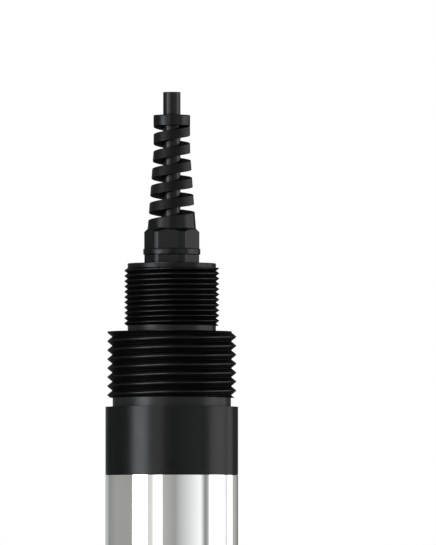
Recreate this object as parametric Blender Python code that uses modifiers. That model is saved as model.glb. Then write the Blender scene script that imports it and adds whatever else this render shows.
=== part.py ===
"""Optical dissolved oxygen sensor: a steel tube between two black ends.

The upper end is a turned head with two pipe threads, a cable gland whose nut carries a spiral bend
protector, and a short cable. The lower end is a nose that holds the optics, closed by a screw-on
sensing cap. The sensor stands upright on the rim of that cap: Z is its axis, and z = 0 is the rim.
"""

import math

import bmesh
import bpy
from mathutils import Matrix, Vector

MM = 0.001

# Faces round a turned piece, and the merge distance of the Screw modifiers
ROUND_SEGMENTS = 32
RING_SEGMENTS = 24
SMALL_SEGMENTS = 16
MERGE = 0.01 * MM
EDGE_ANGLE = 30.0

# Clearances between pieces
SEAM = 0.1 * MM
SEAT_GAP = 0.3 * MM
SLIDE_GAP = 0.25 * MM
RING_GAP = 0.15 * MM

# Steel body tube
BODY_DIAMETER = 37.0 * MM
TUBE_WALL = 1.5 * MM
TUBE_LENGTH = 85.0 * MM
TUBE_EDGE = 0.25 * MM

# Head: a plain collar, then the large thread and the small thread
COLLAR_LENGTH = 19.0 * MM
COLLAR_EDGE = 0.25 * MM
SHOULDER_WIDTH = 1.6 * MM
LARGE_THREAD_LENGTH = 21.0 * MM
LARGE_THREAD_ROOT = 33.1 * MM
LARGE_THREAD_CREST = 35.9 * MM
LARGE_THREAD_PITCH = 2.5 * MM
LARGE_THREAD_RELIEF = 2.55 * MM
LARGE_THREAD_PHASE = 38.53 * MM  # height above the collar's foot of one crest, on the right
SMALL_THREAD_LENGTH = 19.0 * MM
SMALL_THREAD_ROOT = 24.75 * MM
SMALL_THREAD_CREST = 26.44 * MM
SMALL_THREAD_PITCH = 1.47 * MM
SMALL_THREAD_RELIEF = 1.65 * MM
SMALL_THREAD_PILOT = 1.28 * MM
SMALL_THREAD_PHASE = 56.22 * MM
THREAD_CREST_FLAT = 0.1  # of the pitch
THREAD_SINK = 0.6 * MM
THREAD_RELIEF_DEPTH = 0.05 * MM
HEAD_WALL = 3.6 * MM
HEAD_EDGE = 0.2 * MM

# Spigots that plug into the ends of the tube, each with two O-rings
SPIGOT_LENGTH = 15.0 * MM
SPIGOT_WALL = 2.3 * MM
SPIGOT_EDGE = 0.6 * MM
SPIGOT_RING_CORD = 2.0 * MM
SPIGOT_RING_FIRST = 4.5 * MM
SPIGOT_RING_SPACING = 5.0 * MM

# Cable gland
GLAND_THREAD_DIAMETER = 12.0 * MM
GLAND_STEM_LENGTH = 8.5 * MM
GLAND_HEX_FLATS = 14.0 * MM
GLAND_HEX_CORNERS = 15.3 * MM
GLAND_HEX_HEIGHT = 2.4 * MM
GLAND_HEX_TURN = math.radians(24.1)
GLAND_NECK_DIAMETER = 11.6 * MM
GLAND_NECK_ROOT = 10.3 * MM
GLAND_NECK_PITCH = 1.5 * MM
GLAND_NECK_LENGTH = 5.4 * MM
GLAND_NECK_RELIEF = 0.4 * MM
GLAND_WALL = 1.5 * MM
GLAND_RING_CORD = 1.1 * MM
CLAW_COUNT = 6
CLAW_LENGTH = 3.2 * MM
CLAW_TAPER = 1.2 * MM
CLAW_SLOT = 0.8 * MM
SPOT_FACE_DEPTH = 0.3 * MM

# Gland nut: captive ring, hexagon and spiral bend protector
NUT_RING_DIAMETER = 15.95 * MM
NUT_RING_HEIGHT = 1.5 * MM
NUT_FLATS = 14.1 * MM
NUT_CORNERS = 15.4 * MM
NUT_HEIGHT = 4.7 * MM
NUT_CHAMFER_HEIGHT = 0.8 * MM
SPIRAL_BASE_DIAMETER = 13.5 * MM
SPIRAL_TOP_DIAMETER = 10.24 * MM
SPIRAL_BASE_HEIGHT = 2.2 * MM
SPIRAL_TAPER_HEIGHT = 22.0 * MM
SPIRAL_STRAIGHT_HEIGHT = 9.8 * MM
SPIRAL_END_RING = 3.0 * MM
SPIRAL_PITCH = 4.8 * MM
SPIRAL_SLOT = 1.8 * MM
SPIRAL_LEFT_SLOT_DROP = 4.2 * MM
SPIRAL_STEP = 0.02 * MM

# Cable: jacket and four cores
CABLE_DIAMETER = 4.85 * MM
CABLE_WALL = 0.7 * MM
CABLE_STUB = 6.4 * MM
CABLE_GAP = 0.3 * MM
CABLE_TAIL = 4.0 * MM
CORE_DIAMETER = 1.15 * MM
CORE_STEPS = 12
CORE_IN_CLAMP = 2.5 * MM

# Nose and sensing cap
CAP_LENGTH = 25.8 * MM
CAP_WALL = 3.6 * MM
CAP_EDGE = 1.2 * MM
CAP_FLOOR = 3.0 * MM
CAP_RECESS_DEPTH = 1.2 * MM
CAP_RIM_WIDTH = 5.2 * MM
CAP_TOP_EDGE = 0.3 * MM
CAP_RING_CORD = 2.0 * MM
CAP_RING_FROM_TOP = 4.0 * MM
FOIL_DIAMETER = 17.4 * MM
FOIL_THICKNESS = 1.0 * MM
FOIL_LIP = 0.8 * MM
FOIL_LIP_WIDTH = 1.2 * MM
NOSE_COLLAR_LENGTH = 9.75 * MM
NOSE_END_GAP = 0.8 * MM
NOSE_EDGE = 0.6 * MM
NOSE_THREAD_DEPTH = 0.9 * MM
NOSE_THREAD_PITCH = 2.0 * MM
NOSE_THREAD_START = 1.4 * MM
NOSE_THREAD_LENGTH = 10.0 * MM
NOSE_THREAD_RELIEF = 0.9 * MM

# Optics in the nose
OPTICS_LIP = 1.5 * MM
OPTICS_LIP_WIDTH = 3.0 * MM
OPTICS_BORE = 18.0 * MM
WINDOW_THICKNESS = 2.0 * MM
WINDOW_RING_CORD = 1.5 * MM
BLOCK_HEIGHT = 14.0 * MM
LAMP_CIRCLE = 8.4 * MM
LAMP_DIAMETER = 3.0 * MM
LAMP_FLANGE = 0.4 * MM
LAMP_HEIGHT = 5.3 * MM
DETECTOR_DIAMETER = 4.8 * MM
DETECTOR_HEIGHT = 4.6 * MM
FILTER_THICKNESS = 1.0 * MM
LIGHT_APERTURE = 3.4 * MM
THERMISTOR_DIAMETER = 1.8 * MM
THERMISTOR_LENGTH = 10.0 * MM
SCREW_DIAMETER = 2.0 * MM
SCREW_LENGTH = 6.0 * MM
SCREW_HEAD_DIAMETER = 3.6 * MM
SCREW_HEAD_HEIGHT = 1.6 * MM
OUTER_FEATURE_CIRCLE = 14.2 * MM

# Electronics in the tube
BOARD_THICKNESS = 1.6 * MM
HEADER_HEIGHT = 4.0 * MM
HEADER_LENGTH = 10.2 * MM
HEADER_WIDTH = 2.6 * MM
MAIN_BOARD_LENGTH = 62.0 * MM
CARRIER_WALL = 1.4 * MM
CARRIER_RING_HEIGHT = 2.2 * MM
CARRIER_RAIL_WIDTH = 4.6 * MM
CARRIER_REACH = 4.0 * MM
GROOVE_DEPTH = 1.0 * MM
CHIP_SIZE = (10.0 * MM, 1.4 * MM, 10.0 * MM)
CHIP_HEIGHT_ON_BOARD = 24.0 * MM
TRANSCEIVER_SIZE = (5.0 * MM, 1.6 * MM, 4.0 * MM)
TRANSCEIVER_HEIGHT_ON_BOARD = 42.0 * MM
CAPACITOR_DIAMETER = 6.3 * MM
CAPACITOR_LENGTH = 5.4 * MM
CAPACITOR_HEIGHT_ON_BOARD = 34.0 * MM
TERMINAL_PITCH = 2.54 * MM
TERMINAL_DEPTH = 6.0 * MM
TERMINAL_HEIGHT = 8.0 * MM
TERMINAL_WALL = 0.6 * MM
TERMINAL_SCREW = 1.9 * MM
TERMINAL_SCREW_DEPTH = 1.0 * MM

# Levels along the axis, from the rim of the sensing cap to the cut end of the cable
NOSE_END = CAP_RECESS_DEPTH + CAP_FLOOR + NOSE_END_GAP
NOSE_SHOULDER = CAP_LENGTH + SLIDE_GAP
TUBE_BOTTOM = NOSE_SHOULDER + NOSE_COLLAR_LENGTH + SEAM
TUBE_TOP = TUBE_BOTTOM + TUBE_LENGTH
COLLAR_BOTTOM = TUBE_TOP + SEAM
COLLAR_TOP = COLLAR_BOTTOM + COLLAR_LENGTH
LARGE_THREAD_TOP = COLLAR_TOP + LARGE_THREAD_LENGTH
HEAD_TOP = LARGE_THREAD_TOP + SMALL_THREAD_LENGTH
GLAND_HEX_TOP = HEAD_TOP - SPOT_FACE_DEPTH + SEAT_GAP + GLAND_HEX_HEIGHT
NUT_RING_BOTTOM = GLAND_HEX_TOP + SEAM
NUT_BOTTOM = NUT_RING_BOTTOM + NUT_RING_HEIGHT + SEAM
SPIRAL_BOTTOM = NUT_BOTTOM + NUT_HEIGHT + NUT_CHAMFER_HEIGHT
SPIRAL_TOP = SPIRAL_BOTTOM + SPIRAL_TAPER_HEIGHT + SPIRAL_STRAIGHT_HEIGHT
CABLE_END = SPIRAL_TOP + CABLE_STUB

# Radii that follow from the sizes above
BODY_RADIUS = BODY_DIAMETER / 2
TUBE_BORE_RADIUS = BODY_RADIUS - TUBE_WALL
SPIGOT_RADIUS = TUBE_BORE_RADIUS - SLIDE_GAP
SPIGOT_GROOVE_RADIUS = TUBE_BORE_RADIUS - SPIGOT_RING_CORD - 2 * RING_GAP
BAY_RADIUS = SPIGOT_GROOVE_RADIUS - SPIGOT_WALL
WIRE_RADIUS = SMALL_THREAD_ROOT / 2 - HEAD_WALL
NOSE_RADIUS = BODY_RADIUS - CAP_WALL - SLIDE_GAP
OPTICS_RADIUS = OPTICS_BORE / 2
CABLE_RADIUS = CABLE_DIAMETER / 2
CABLE_BORE_RADIUS = CABLE_RADIUS + CABLE_GAP

# Levels of the inner pieces
WINDOW_RING_LEVEL = NOSE_END + OPTICS_LIP + RING_GAP + WINDOW_RING_CORD / 2
WINDOW_BOTTOM = WINDOW_RING_LEVEL + WINDOW_RING_CORD / 2 + RING_GAP
BLOCK_BOTTOM = WINDOW_BOTTOM + WINDOW_THICKNESS + SEAT_GAP
BLOCK_TOP = BLOCK_BOTTOM + BLOCK_HEIGHT
BAY_FLOOR = BLOCK_TOP
OPTICS_BOARD_BOTTOM = BAY_FLOOR + SEAT_GAP
OPTICS_BOARD_TOP = OPTICS_BOARD_BOTTOM + BOARD_THICKNESS
MAIN_BOARD_BOTTOM = OPTICS_BOARD_TOP + HEADER_HEIGHT + 2 * SEAT_GAP
MAIN_BOARD_TOP = MAIN_BOARD_BOTTOM + MAIN_BOARD_LENGTH
HEAD_SPIGOT_BOTTOM = COLLAR_BOTTOM - SPIGOT_LENGTH
NOSE_SPIGOT_TOP = TUBE_BOTTOM - SEAM + SPIGOT_LENGTH
CARRIER_TOP = HEAD_SPIGOT_BOTTOM + CARRIER_REACH


def clear_scene():
    """Removes what the scene holds and sets metres."""
    for obj in list(bpy.data.objects):
        bpy.data.objects.remove(obj)
    units = bpy.context.scene.unit_settings
    units.system = "METRIC"
    units.scale_length = 1.0


def new_collection(name, rendered=True):
    """A collection in the scene. Helpers go in one that isn't rendered."""
    collection = bpy.data.collections.new(name)
    bpy.context.scene.collection.children.link(collection)
    collection.hide_render = not rendered
    return collection


def new_material(name, colour, roughness, metallic=0.0):
    """A Principled material of one colour."""
    material = bpy.data.materials.new(name)
    material.use_nodes = True
    shader = material.node_tree.nodes["Principled BSDF"]
    shader.inputs["Base Color"].default_value = (*colour, 1.0)
    shader.inputs["Roughness"].default_value = roughness
    shader.inputs["Metallic"].default_value = metallic
    material.diffuse_color = (*colour, 1.0)
    return material


clear_scene()
PIECES = new_collection("dissolved_oxygen_sensor")
HELPERS = new_collection("cutters_and_guides", rendered=False)

BLACK_POM = new_material("black_pom", (0.012, 0.012, 0.013), 0.35)
BLACK_NYLON = new_material("black_nylon", (0.014, 0.014, 0.015), 0.42)
POLISHED_STEEL = new_material("polished_steel", (0.72, 0.72, 0.71), 0.08, 1.0)
CABLE_SHEATH = new_material("cable_sheath", (0.02, 0.02, 0.021), 0.5)
BLACK_RUBBER = new_material("black_rubber", (0.016, 0.016, 0.016), 0.7)
SENSING_COATING = new_material("sensing_coating", (0.03, 0.012, 0.014), 0.6)
CLEAR_GLASS = new_material("clear_glass", (0.75, 0.82, 0.84), 0.03)
RED_GLASS = new_material("red_glass", (0.45, 0.02, 0.02), 0.05)
BLUE_LENS = new_material("blue_lens", (0.05, 0.16, 0.6), 0.1)
RED_LENS = new_material("red_lens", (0.6, 0.04, 0.03), 0.1)
BOARD_GREEN = new_material("board_green", (0.01, 0.09, 0.035), 0.4)
CHIP_BLACK = new_material("chip_black", (0.02, 0.02, 0.022), 0.55)
TIN_CAN = new_material("tin_can", (0.6, 0.6, 0.6), 0.3, 1.0)
CARRIER_GREY = new_material("carrier_grey", (0.2, 0.2, 0.21), 0.5)
TERMINAL_GREEN = new_material("terminal_green", (0.02, 0.22, 0.07), 0.45)
CORE_COLOURS = {
    "red": new_material("core_red", (0.45, 0.015, 0.012), 0.45),
    "black": new_material("core_black", (0.015, 0.015, 0.015), 0.45),
    "yellow": new_material("core_yellow", (0.7, 0.48, 0.02), 0.45),
    "blue": new_material("core_blue", (0.02, 0.08, 0.42), 0.45),
}


def add_object(name, data, material=None):
    """Puts data in the scene: as a piece if it has a material, otherwise as a hidden helper."""
    obj = bpy.data.objects.new(name, data)
    if material:
        PIECES.objects.link(obj)
        data.materials.append(material)
    else:
        HELPERS.objects.link(obj)
        obj.hide_render = True
        obj.display_type = "WIRE"
    return obj


def shade_round(mesh, sharp_angle=30.0):
    """Smooth faces with sharp edges where they turn by more than the angle."""
    mesh.shade_smooth()
    mesh.set_sharp_from_angle(angle=math.radians(sharp_angle))


def turned(name, profile, material=None, segments=ROUND_SEGMENTS):
    """A ring-shaped piece: a closed outline of (radius, height) turned about Z.

    The outline runs down the outside of the piece and back up its bore.
    """
    mesh = bpy.data.meshes.new(name)
    count = len(profile)
    points = [(radius, 0.0, height) for radius, height in profile]
    mesh.from_pydata(points, [(i, (i + 1) % count) for i in range(count)], [])
    obj = add_object(name, mesh, material)
    screw = obj.modifiers.new("Turn", "SCREW")
    screw.axis = "Z"
    screw.angle = math.tau
    screw.steps = screw.render_steps = segments
    screw.use_merge_vertices = True
    screw.merge_threshold = MERGE
    screw.use_smooth_shade = True
    return obj


def disc(name, radius, bottom, top, material=None, centre=(0.0, 0.0), segments=ROUND_SEGMENTS):
    """A solid cylinder about a vertical axis, from bottom to top."""
    mesh = bpy.data.meshes.new(name)
    bm = bmesh.new()
    middle = Matrix.Translation((centre[0], centre[1], (bottom + top) / 2))
    bmesh.ops.create_cone(
        bm,
        cap_ends=True,
        segments=segments,
        radius1=radius,
        radius2=radius,
        depth=top - bottom,
        matrix=middle,
    )
    bm.to_mesh(mesh)
    bm.free()
    shade_round(mesh)
    return add_object(name, mesh, material)


def block(name, size, centre, material=None):
    """A box of a size (x, y, z) about a centre."""
    mesh = bpy.data.meshes.new(name)
    bm = bmesh.new()
    bmesh.ops.create_cube(bm, size=1.0, matrix=Matrix.Translation(centre) @ Matrix.Diagonal((*size, 1.0)))
    bm.to_mesh(mesh)
    bm.free()
    return add_object(name, mesh, material)


def o_ring(name, inner_radius, cord, level, material=BLACK_RUBBER):
    """A round rubber ring of a cord diameter, lying flat at a level."""
    bpy.ops.mesh.primitive_torus_add(
        location=(0.0, 0.0, level),
        major_radius=inner_radius + cord / 2,
        minor_radius=cord / 2,
        major_segments=RING_SEGMENTS,
        minor_segments=5,
    )
    ring = bpy.context.object
    for collection in list(ring.users_collection):
        collection.objects.unlink(ring)
    PIECES.objects.link(ring)
    ring.name = ring.data.name = name
    ring.data.materials.append(material)
    shade_round(ring.data, 80.0)
    return ring


def combine(obj, other, operation):
    """Joins, cuts or intersects obj with a hidden helper by a Boolean modifier."""
    boolean = obj.modifiers.new(f"{operation.title()} {other.name}", "BOOLEAN")
    boolean.operation = operation
    boolean.solver = "EXACT"
    boolean.object = other
    return obj


def spiral_outline(level):
    """The outer radius of the bend protector at a level."""
    fall = (SPIRAL_BASE_DIAMETER - SPIRAL_TOP_DIAMETER) / 2
    share = min(max((level - SPIRAL_BOTTOM) / SPIRAL_TAPER_HEIGHT, 0.0), 1.0)
    return SPIRAL_BASE_DIAMETER / 2 - fall * share


def spiral_band(name, bottom, top, slot_level):
    """The spiral band of the bend protector, wound right-handed from below bottom to above top.

    A rectangle as high as the band is spun about Z with the pitch, and its outer side is drawn in to
    the taper. The slot between two turns passes the -X side at the slot level.
    """
    half = (SPIRAL_PITCH - SPIRAL_SLOT) / 2
    inner = CABLE_BORE_RADIUS + SPIRAL_STEP
    outer = SPIRAL_BASE_DIAMETER / 2
    band_level = slot_level - SPIRAL_PITCH / 2
    start = band_level - SPIRAL_PITCH * math.ceil((band_level - bottom) / SPIRAL_PITCH + 1)
    turns = math.ceil((top - start) / SPIRAL_PITCH) + 1
    bm = bmesh.new()
    section = ((inner, -half), (outer, -half), (outer, half), (inner, half))
    corners = [bm.verts.new((-radius, 0.0, start + height)) for radius, height in section]
    face = bm.faces.new(corners)
    bmesh.ops.spin(
        bm,
        geom=[*corners, *face.edges, face],
        cent=(0, 0, 0),
        axis=(0, 0, 1),
        dvec=(0, 0, SPIRAL_PITCH / ROUND_SEGMENTS),
        angle=math.tau * turns,
        steps=turns * ROUND_SEGMENTS,
    )
    for vert in bm.verts:
        radius = math.hypot(vert.co.x, vert.co.y)
        if radius > (inner + SPIRAL_STEP):
            factor = (spiral_outline(vert.co.z) - SPIRAL_STEP) / radius
            vert.co.x *= factor
            vert.co.y *= factor
    bmesh.ops.recalc_face_normals(bm, faces=bm.faces)
    mesh = bpy.data.meshes.new(name)
    bm.to_mesh(mesh)
    bm.free()
    return add_object(name, mesh)


def hexagon_trim(name, across_flats, bottom, top):
    """A thick ring with a hexagonal hole, to cut a hexagon on a round piece."""
    outer = disc(name, across_flats, bottom, top)
    mesh = bpy.data.meshes.new(name + "_hole")
    bm = bmesh.new()
    corner_radius = across_flats / 2 / math.cos(math.pi / 6)
    bmesh.ops.create_cone(
        bm,
        cap_ends=True,
        segments=6,
        radius1=corner_radius,
        radius2=corner_radius,
        depth=2 * (top - bottom),
        matrix=Matrix.Translation((0, 0, (bottom + top) / 2)) @ Matrix.Rotation(GLAND_HEX_TURN, 4, "Z"),
    )
    bm.to_mesh(mesh)
    bm.free()
    hole = add_object(name + "_hole", mesh)
    return combine(outer, hole, "DIFFERENCE")


def grooves_down(radius, groove_radius, levels, cord):
    """Points of a profile that runs down a spigot at a radius, past an O-ring groove at each level."""
    half = cord / 2 + RING_GAP
    points = []
    for level in sorted(levels, reverse=True):
        points += [
            (radius, level + half),
            (groove_radius, level + half),
            (groove_radius, level - half),
            (radius, level - half),
        ]
    return points


def threaded_rod(name, root, crest, pitch, bottom, top, crest_level, segments):
    """A solid rod with a right-handed V thread that reaches past both levels.

    One tooth's outline is wound about Z with the pitch, each turn is merged to the next, and the
    two ends are closed by cones. A crest passes the +X side at the crest level.
    """
    below = math.ceil((crest_level - bottom) / pitch + 0.6)
    start = crest_level - pitch / 2 - below * pitch
    turns = math.ceil((top - start) / pitch + 1.1)
    flat = pitch * THREAD_CREST_FLAT / 2
    tooth = [(root, 0.0), (crest, pitch / 2 - flat), (crest, pitch / 2 + flat), (root, pitch)]
    bm = bmesh.new()
    corners = [bm.verts.new((diameter / 2, 0.0, start + height)) for diameter, height in tooth]
    edges = [bm.edges.new(pair) for pair in zip(corners, corners[1:])]
    bmesh.ops.spin(
        bm,
        geom=[*corners, *edges],
        cent=(0, 0, 0),
        axis=(0, 0, 1),
        dvec=(0, 0, pitch / segments),
        angle=math.tau * turns,
        steps=turns * segments,
    )
    bmesh.ops.remove_doubles(bm, verts=bm.verts, dist=MERGE)
    middle = start + (turns + 1) * pitch / 2
    for side in (-1, 1):
        tip = bm.verts.new((0, 0, middle + side * (turns + 3) * pitch / 2))
        rim = [edge for edge in bm.edges if edge.is_boundary and tip not in edge.verts]
        for edge in rim:
            if (edge.verts[0].co.z - middle) * side > 0:
                bm.faces.new((*edge.verts, tip))
    bmesh.ops.recalc_face_normals(bm, faces=bm.faces)
    mesh = bpy.data.meshes.new(name)
    bm.to_mesh(mesh)
    bm.free()
    return add_object(name, mesh)


def thread(name, root, crest, pitch, bottom, top, crest_level, bore=None, segments=ROUND_SEGMENTS):
    """A threaded sleeve between two levels, cut off flat, as a helper to join to a turned core.

    The core is a little thinner than the root, so that the two surfaces never coincide.
    """
    bore = bore or root / 2 - THREAD_SINK
    sleeve = turned(
        name,
        [
            (crest, top),
            (crest, bottom),
            (bore, bottom),
            (bore, top),
        ],
        segments=segments,
    )
    rod = threaded_rod(name + "_rod", root, crest, pitch, bottom, top, crest_level, segments)
    return combine(sleeve, rod, "INTERSECT")


def make_head():
    """The black head: collar, two pipe threads and the spigot that plugs into the tube."""
    ring_levels = [
        COLLAR_BOTTOM - SPIGOT_RING_FIRST,
        COLLAR_BOTTOM - SPIGOT_RING_FIRST - SPIGOT_RING_SPACING,
    ]
    small_root = SMALL_THREAD_ROOT / 2 - THREAD_RELIEF_DEPTH
    large_root = LARGE_THREAD_ROOT / 2 - THREAD_RELIEF_DEPTH
    spot_radius = GLAND_HEX_CORNERS / 2 + SEAT_GAP
    stem_bore = GLAND_THREAD_DIAMETER / 2
    ring_seat = stem_bore + GLAND_RING_CORD + RING_GAP
    ring_seat_bottom = HEAD_TOP - SPOT_FACE_DEPTH - GLAND_RING_CORD - 2 * RING_GAP
    stem_bottom = HEAD_TOP - SPOT_FACE_DEPTH + SEAT_GAP - GLAND_STEM_LENGTH
    head = turned(
        "head_housing",
        [
            (small_root - HEAD_EDGE, HEAD_TOP),
            (small_root, HEAD_TOP - HEAD_EDGE),
            (small_root, LARGE_THREAD_TOP - SEAM),
            (large_root, LARGE_THREAD_TOP - SEAM),
            (large_root, COLLAR_TOP),
            (BODY_RADIUS - COLLAR_EDGE, COLLAR_TOP),
            (BODY_RADIUS, COLLAR_TOP - COLLAR_EDGE),
            (BODY_RADIUS, COLLAR_BOTTOM),
            (SPIGOT_RADIUS, COLLAR_BOTTOM),
            *grooves_down(SPIGOT_RADIUS, SPIGOT_GROOVE_RADIUS, ring_levels, SPIGOT_RING_CORD),
            (SPIGOT_RADIUS, HEAD_SPIGOT_BOTTOM + SPIGOT_EDGE),
            (SPIGOT_RADIUS - SPIGOT_EDGE, HEAD_SPIGOT_BOTTOM),
            (BAY_RADIUS, HEAD_SPIGOT_BOTTOM),
            (BAY_RADIUS, CARRIER_TOP + SEAT_GAP),
            (BAY_RADIUS - SHOULDER_WIDTH, CARRIER_TOP + SEAT_GAP),
            (BAY_RADIUS - SHOULDER_WIDTH, COLLAR_TOP - (BAY_RADIUS - WIRE_RADIUS)),
            (WIRE_RADIUS, COLLAR_TOP),
            (WIRE_RADIUS, stem_bottom),
            (stem_bore, stem_bottom),
            (stem_bore, ring_seat_bottom),
            (ring_seat, ring_seat_bottom),
            (ring_seat, HEAD_TOP - SPOT_FACE_DEPTH),
            (spot_radius, HEAD_TOP - SPOT_FACE_DEPTH),
            (spot_radius, HEAD_TOP),
        ],
        BLACK_POM,
    )
    large = thread(
        "large_thread",
        LARGE_THREAD_ROOT,
        LARGE_THREAD_CREST,
        LARGE_THREAD_PITCH,
        COLLAR_TOP + LARGE_THREAD_RELIEF,
        LARGE_THREAD_TOP,
        COLLAR_BOTTOM + LARGE_THREAD_PHASE,
        small_root - THREAD_SINK,
    )
    small = thread(
        "small_thread",
        SMALL_THREAD_ROOT,
        SMALL_THREAD_CREST,
        SMALL_THREAD_PITCH,
        LARGE_THREAD_TOP + SMALL_THREAD_RELIEF,
        HEAD_TOP - SMALL_THREAD_PILOT,
        COLLAR_BOTTOM + SMALL_THREAD_PHASE,
    )
    combine(head, large, "UNION")
    combine(head, small, "UNION")
    for number, level in enumerate(ring_levels, 1):
        o_ring(f"head_o_ring_{number}", SPIGOT_GROOVE_RADIUS + RING_GAP, SPIGOT_RING_CORD, level)
    o_ring(
        "gland_o_ring",
        stem_bore,
        GLAND_RING_CORD,
        ring_seat_bottom + RING_GAP + GLAND_RING_CORD / 2,
    )


def make_tube():
    """The polished steel tube between the two ends."""
    turned(
        "body_tube",
        [
            (BODY_RADIUS - TUBE_EDGE, TUBE_TOP),
            (BODY_RADIUS, TUBE_TOP - TUBE_EDGE),
            (BODY_RADIUS, TUBE_BOTTOM + TUBE_EDGE),
            (BODY_RADIUS - TUBE_EDGE, TUBE_BOTTOM),
            (TUBE_BORE_RADIUS, TUBE_BOTTOM),
            (TUBE_BORE_RADIUS, TUBE_TOP),
        ],
        POLISHED_STEEL,
    )


def claw_slots(inner, outer, bottom, top):
    """The slots that part the claws of the gland body, as one helper."""
    mesh = bpy.data.meshes.new("claw_slots")
    bm = bmesh.new()
    reach = outer - inner
    for i in range(CLAW_COUNT):
        place = Matrix.Rotation(math.tau * i / CLAW_COUNT, 4, "Z")
        place = place @ Matrix.Translation(((inner + outer) / 2, 0, (bottom + top) / 2))
        size = Matrix.Diagonal((reach, CLAW_SLOT, top - bottom, 1.0))
        bmesh.ops.create_cube(bm, size=1.0, matrix=place @ size)
    bm.to_mesh(mesh)
    bm.free()
    return add_object("claw_slots", mesh)


def make_gland():
    """The gland body with its claws, and the rubber seal that the claws squeeze on the cable."""
    stem_radius = GLAND_THREAD_DIAMETER / 2 - SEAT_GAP
    hex_bottom = GLAND_HEX_TOP - GLAND_HEX_HEIGHT
    neck_radius = GLAND_NECK_DIAMETER / 2
    neck_top = GLAND_HEX_TOP + GLAND_NECK_LENGTH
    claw_top = neck_top + CLAW_LENGTH
    core_radius = GLAND_NECK_ROOT / 2 - THREAD_RELIEF_DEPTH
    pocket = core_radius - GLAND_WALL
    pocket_floor = hex_bottom + GLAND_HEX_HEIGHT / 2
    body = turned(
        "gland_body",
        [
            (core_radius - CLAW_TAPER, claw_top),
            (core_radius, neck_top),
            (core_radius, GLAND_HEX_TOP),
            (GLAND_HEX_CORNERS / 2, GLAND_HEX_TOP),
            (GLAND_HEX_CORNERS / 2, hex_bottom),
            (stem_radius, hex_bottom),
            (stem_radius, hex_bottom - GLAND_STEM_LENGTH + SEAT_GAP),
            (CABLE_BORE_RADIUS, hex_bottom - GLAND_STEM_LENGTH + SEAT_GAP),
            (CABLE_BORE_RADIUS, pocket_floor),
            (pocket, pocket_floor),
            (pocket, claw_top),
        ],
        BLACK_NYLON,
        RING_SEGMENTS,
    )
    trim = hexagon_trim("gland_hexagon", GLAND_HEX_FLATS, hex_bottom - SEAT_GAP, GLAND_HEX_TOP + SEAT_GAP)
    combine(body, trim, "DIFFERENCE")
    neck_thread = thread(
        "gland_neck_thread",
        GLAND_NECK_ROOT,
        GLAND_NECK_DIAMETER,
        GLAND_NECK_PITCH,
        GLAND_HEX_TOP + GLAND_NECK_RELIEF,
        neck_top,
        GLAND_HEX_TOP + GLAND_NECK_PITCH,
        segments=RING_SEGMENTS,
    )
    combine(body, neck_thread, "UNION")
    slots = claw_slots(CABLE_BORE_RADIUS, neck_radius + CLAW_SLOT, neck_top + SEAM, claw_top + CLAW_SLOT)
    combine(body, slots, "DIFFERENCE")
    turned(
        "gland_seal",
        [
            (pocket - RING_GAP, claw_top),
            (pocket - RING_GAP, pocket_floor + SEAT_GAP),
            (CABLE_RADIUS + RING_GAP, pocket_floor + SEAT_GAP),
            (CABLE_RADIUS + RING_GAP, claw_top),
        ],
        BLACK_RUBBER,
        SMALL_SEGMENTS,
    )


def make_nut():
    """The gland nut: a hexagon with a spiral bend protector, and the captive ring under it."""
    thread_radius = GLAND_NECK_DIAMETER / 2 + SEAT_GAP
    neck_top = GLAND_HEX_TOP + GLAND_NECK_LENGTH
    claw_top = neck_top + CLAW_LENGTH
    cone_top = claw_top + SEAT_GAP
    low = SPIRAL_BOTTOM + SPIRAL_BASE_HEIGHT
    high = SPIRAL_TOP - SPIRAL_END_RING
    nut = turned(
        "gland_nut",
        [
            (spiral_outline(low), low),
            (spiral_outline(SPIRAL_BOTTOM), SPIRAL_BOTTOM),
            (NUT_CORNERS / 2, SPIRAL_BOTTOM - NUT_CHAMFER_HEIGHT),
            (NUT_CORNERS / 2, NUT_BOTTOM),
            (thread_radius, NUT_BOTTOM),
            (thread_radius, neck_top),
            (thread_radius - CLAW_TAPER, cone_top),
            (CABLE_BORE_RADIUS, cone_top),
            (CABLE_BORE_RADIUS, low),
        ],
        BLACK_NYLON,
    )
    end_ring = turned(
        "spiral_end_ring",
        [
            (spiral_outline(SPIRAL_TOP), SPIRAL_TOP),
            (spiral_outline(SPIRAL_TOP), high),
            (CABLE_BORE_RADIUS, high),
            (CABLE_BORE_RADIUS, SPIRAL_TOP),
        ],
    )
    trim = hexagon_trim("nut_hexagon", NUT_FLATS, NUT_BOTTOM - SEAT_GAP, SPIRAL_BOTTOM + SEAT_GAP)
    combine(nut, trim, "DIFFERENCE")
    root = SPIRAL_STEP * 10
    band = spiral_band("spiral", low - root, high + root, SPIRAL_TOP - SPIRAL_LEFT_SLOT_DROP)
    span = disc("spiral_span", SPIRAL_BASE_DIAMETER, low - root, high + root)
    combine(band, span, "INTERSECT")
    combine(nut, band, "UNION")
    combine(nut, end_ring, "UNION")
    turned(
        "gland_nut_ring",
        [
            (NUT_RING_DIAMETER / 2 - NUT_RING_HEIGHT / 4, NUT_RING_BOTTOM + NUT_RING_HEIGHT),
            (NUT_RING_DIAMETER / 2, NUT_RING_BOTTOM + NUT_RING_HEIGHT * 3 / 4),
            (NUT_RING_DIAMETER / 2, NUT_RING_BOTTOM + NUT_RING_HEIGHT / 4),
            (NUT_RING_DIAMETER / 2 - NUT_RING_HEIGHT / 4, NUT_RING_BOTTOM),
            (thread_radius, NUT_RING_BOTTOM),
            (thread_radius, NUT_RING_BOTTOM + NUT_RING_HEIGHT),
        ],
        BLACK_NYLON,
    )


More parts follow.
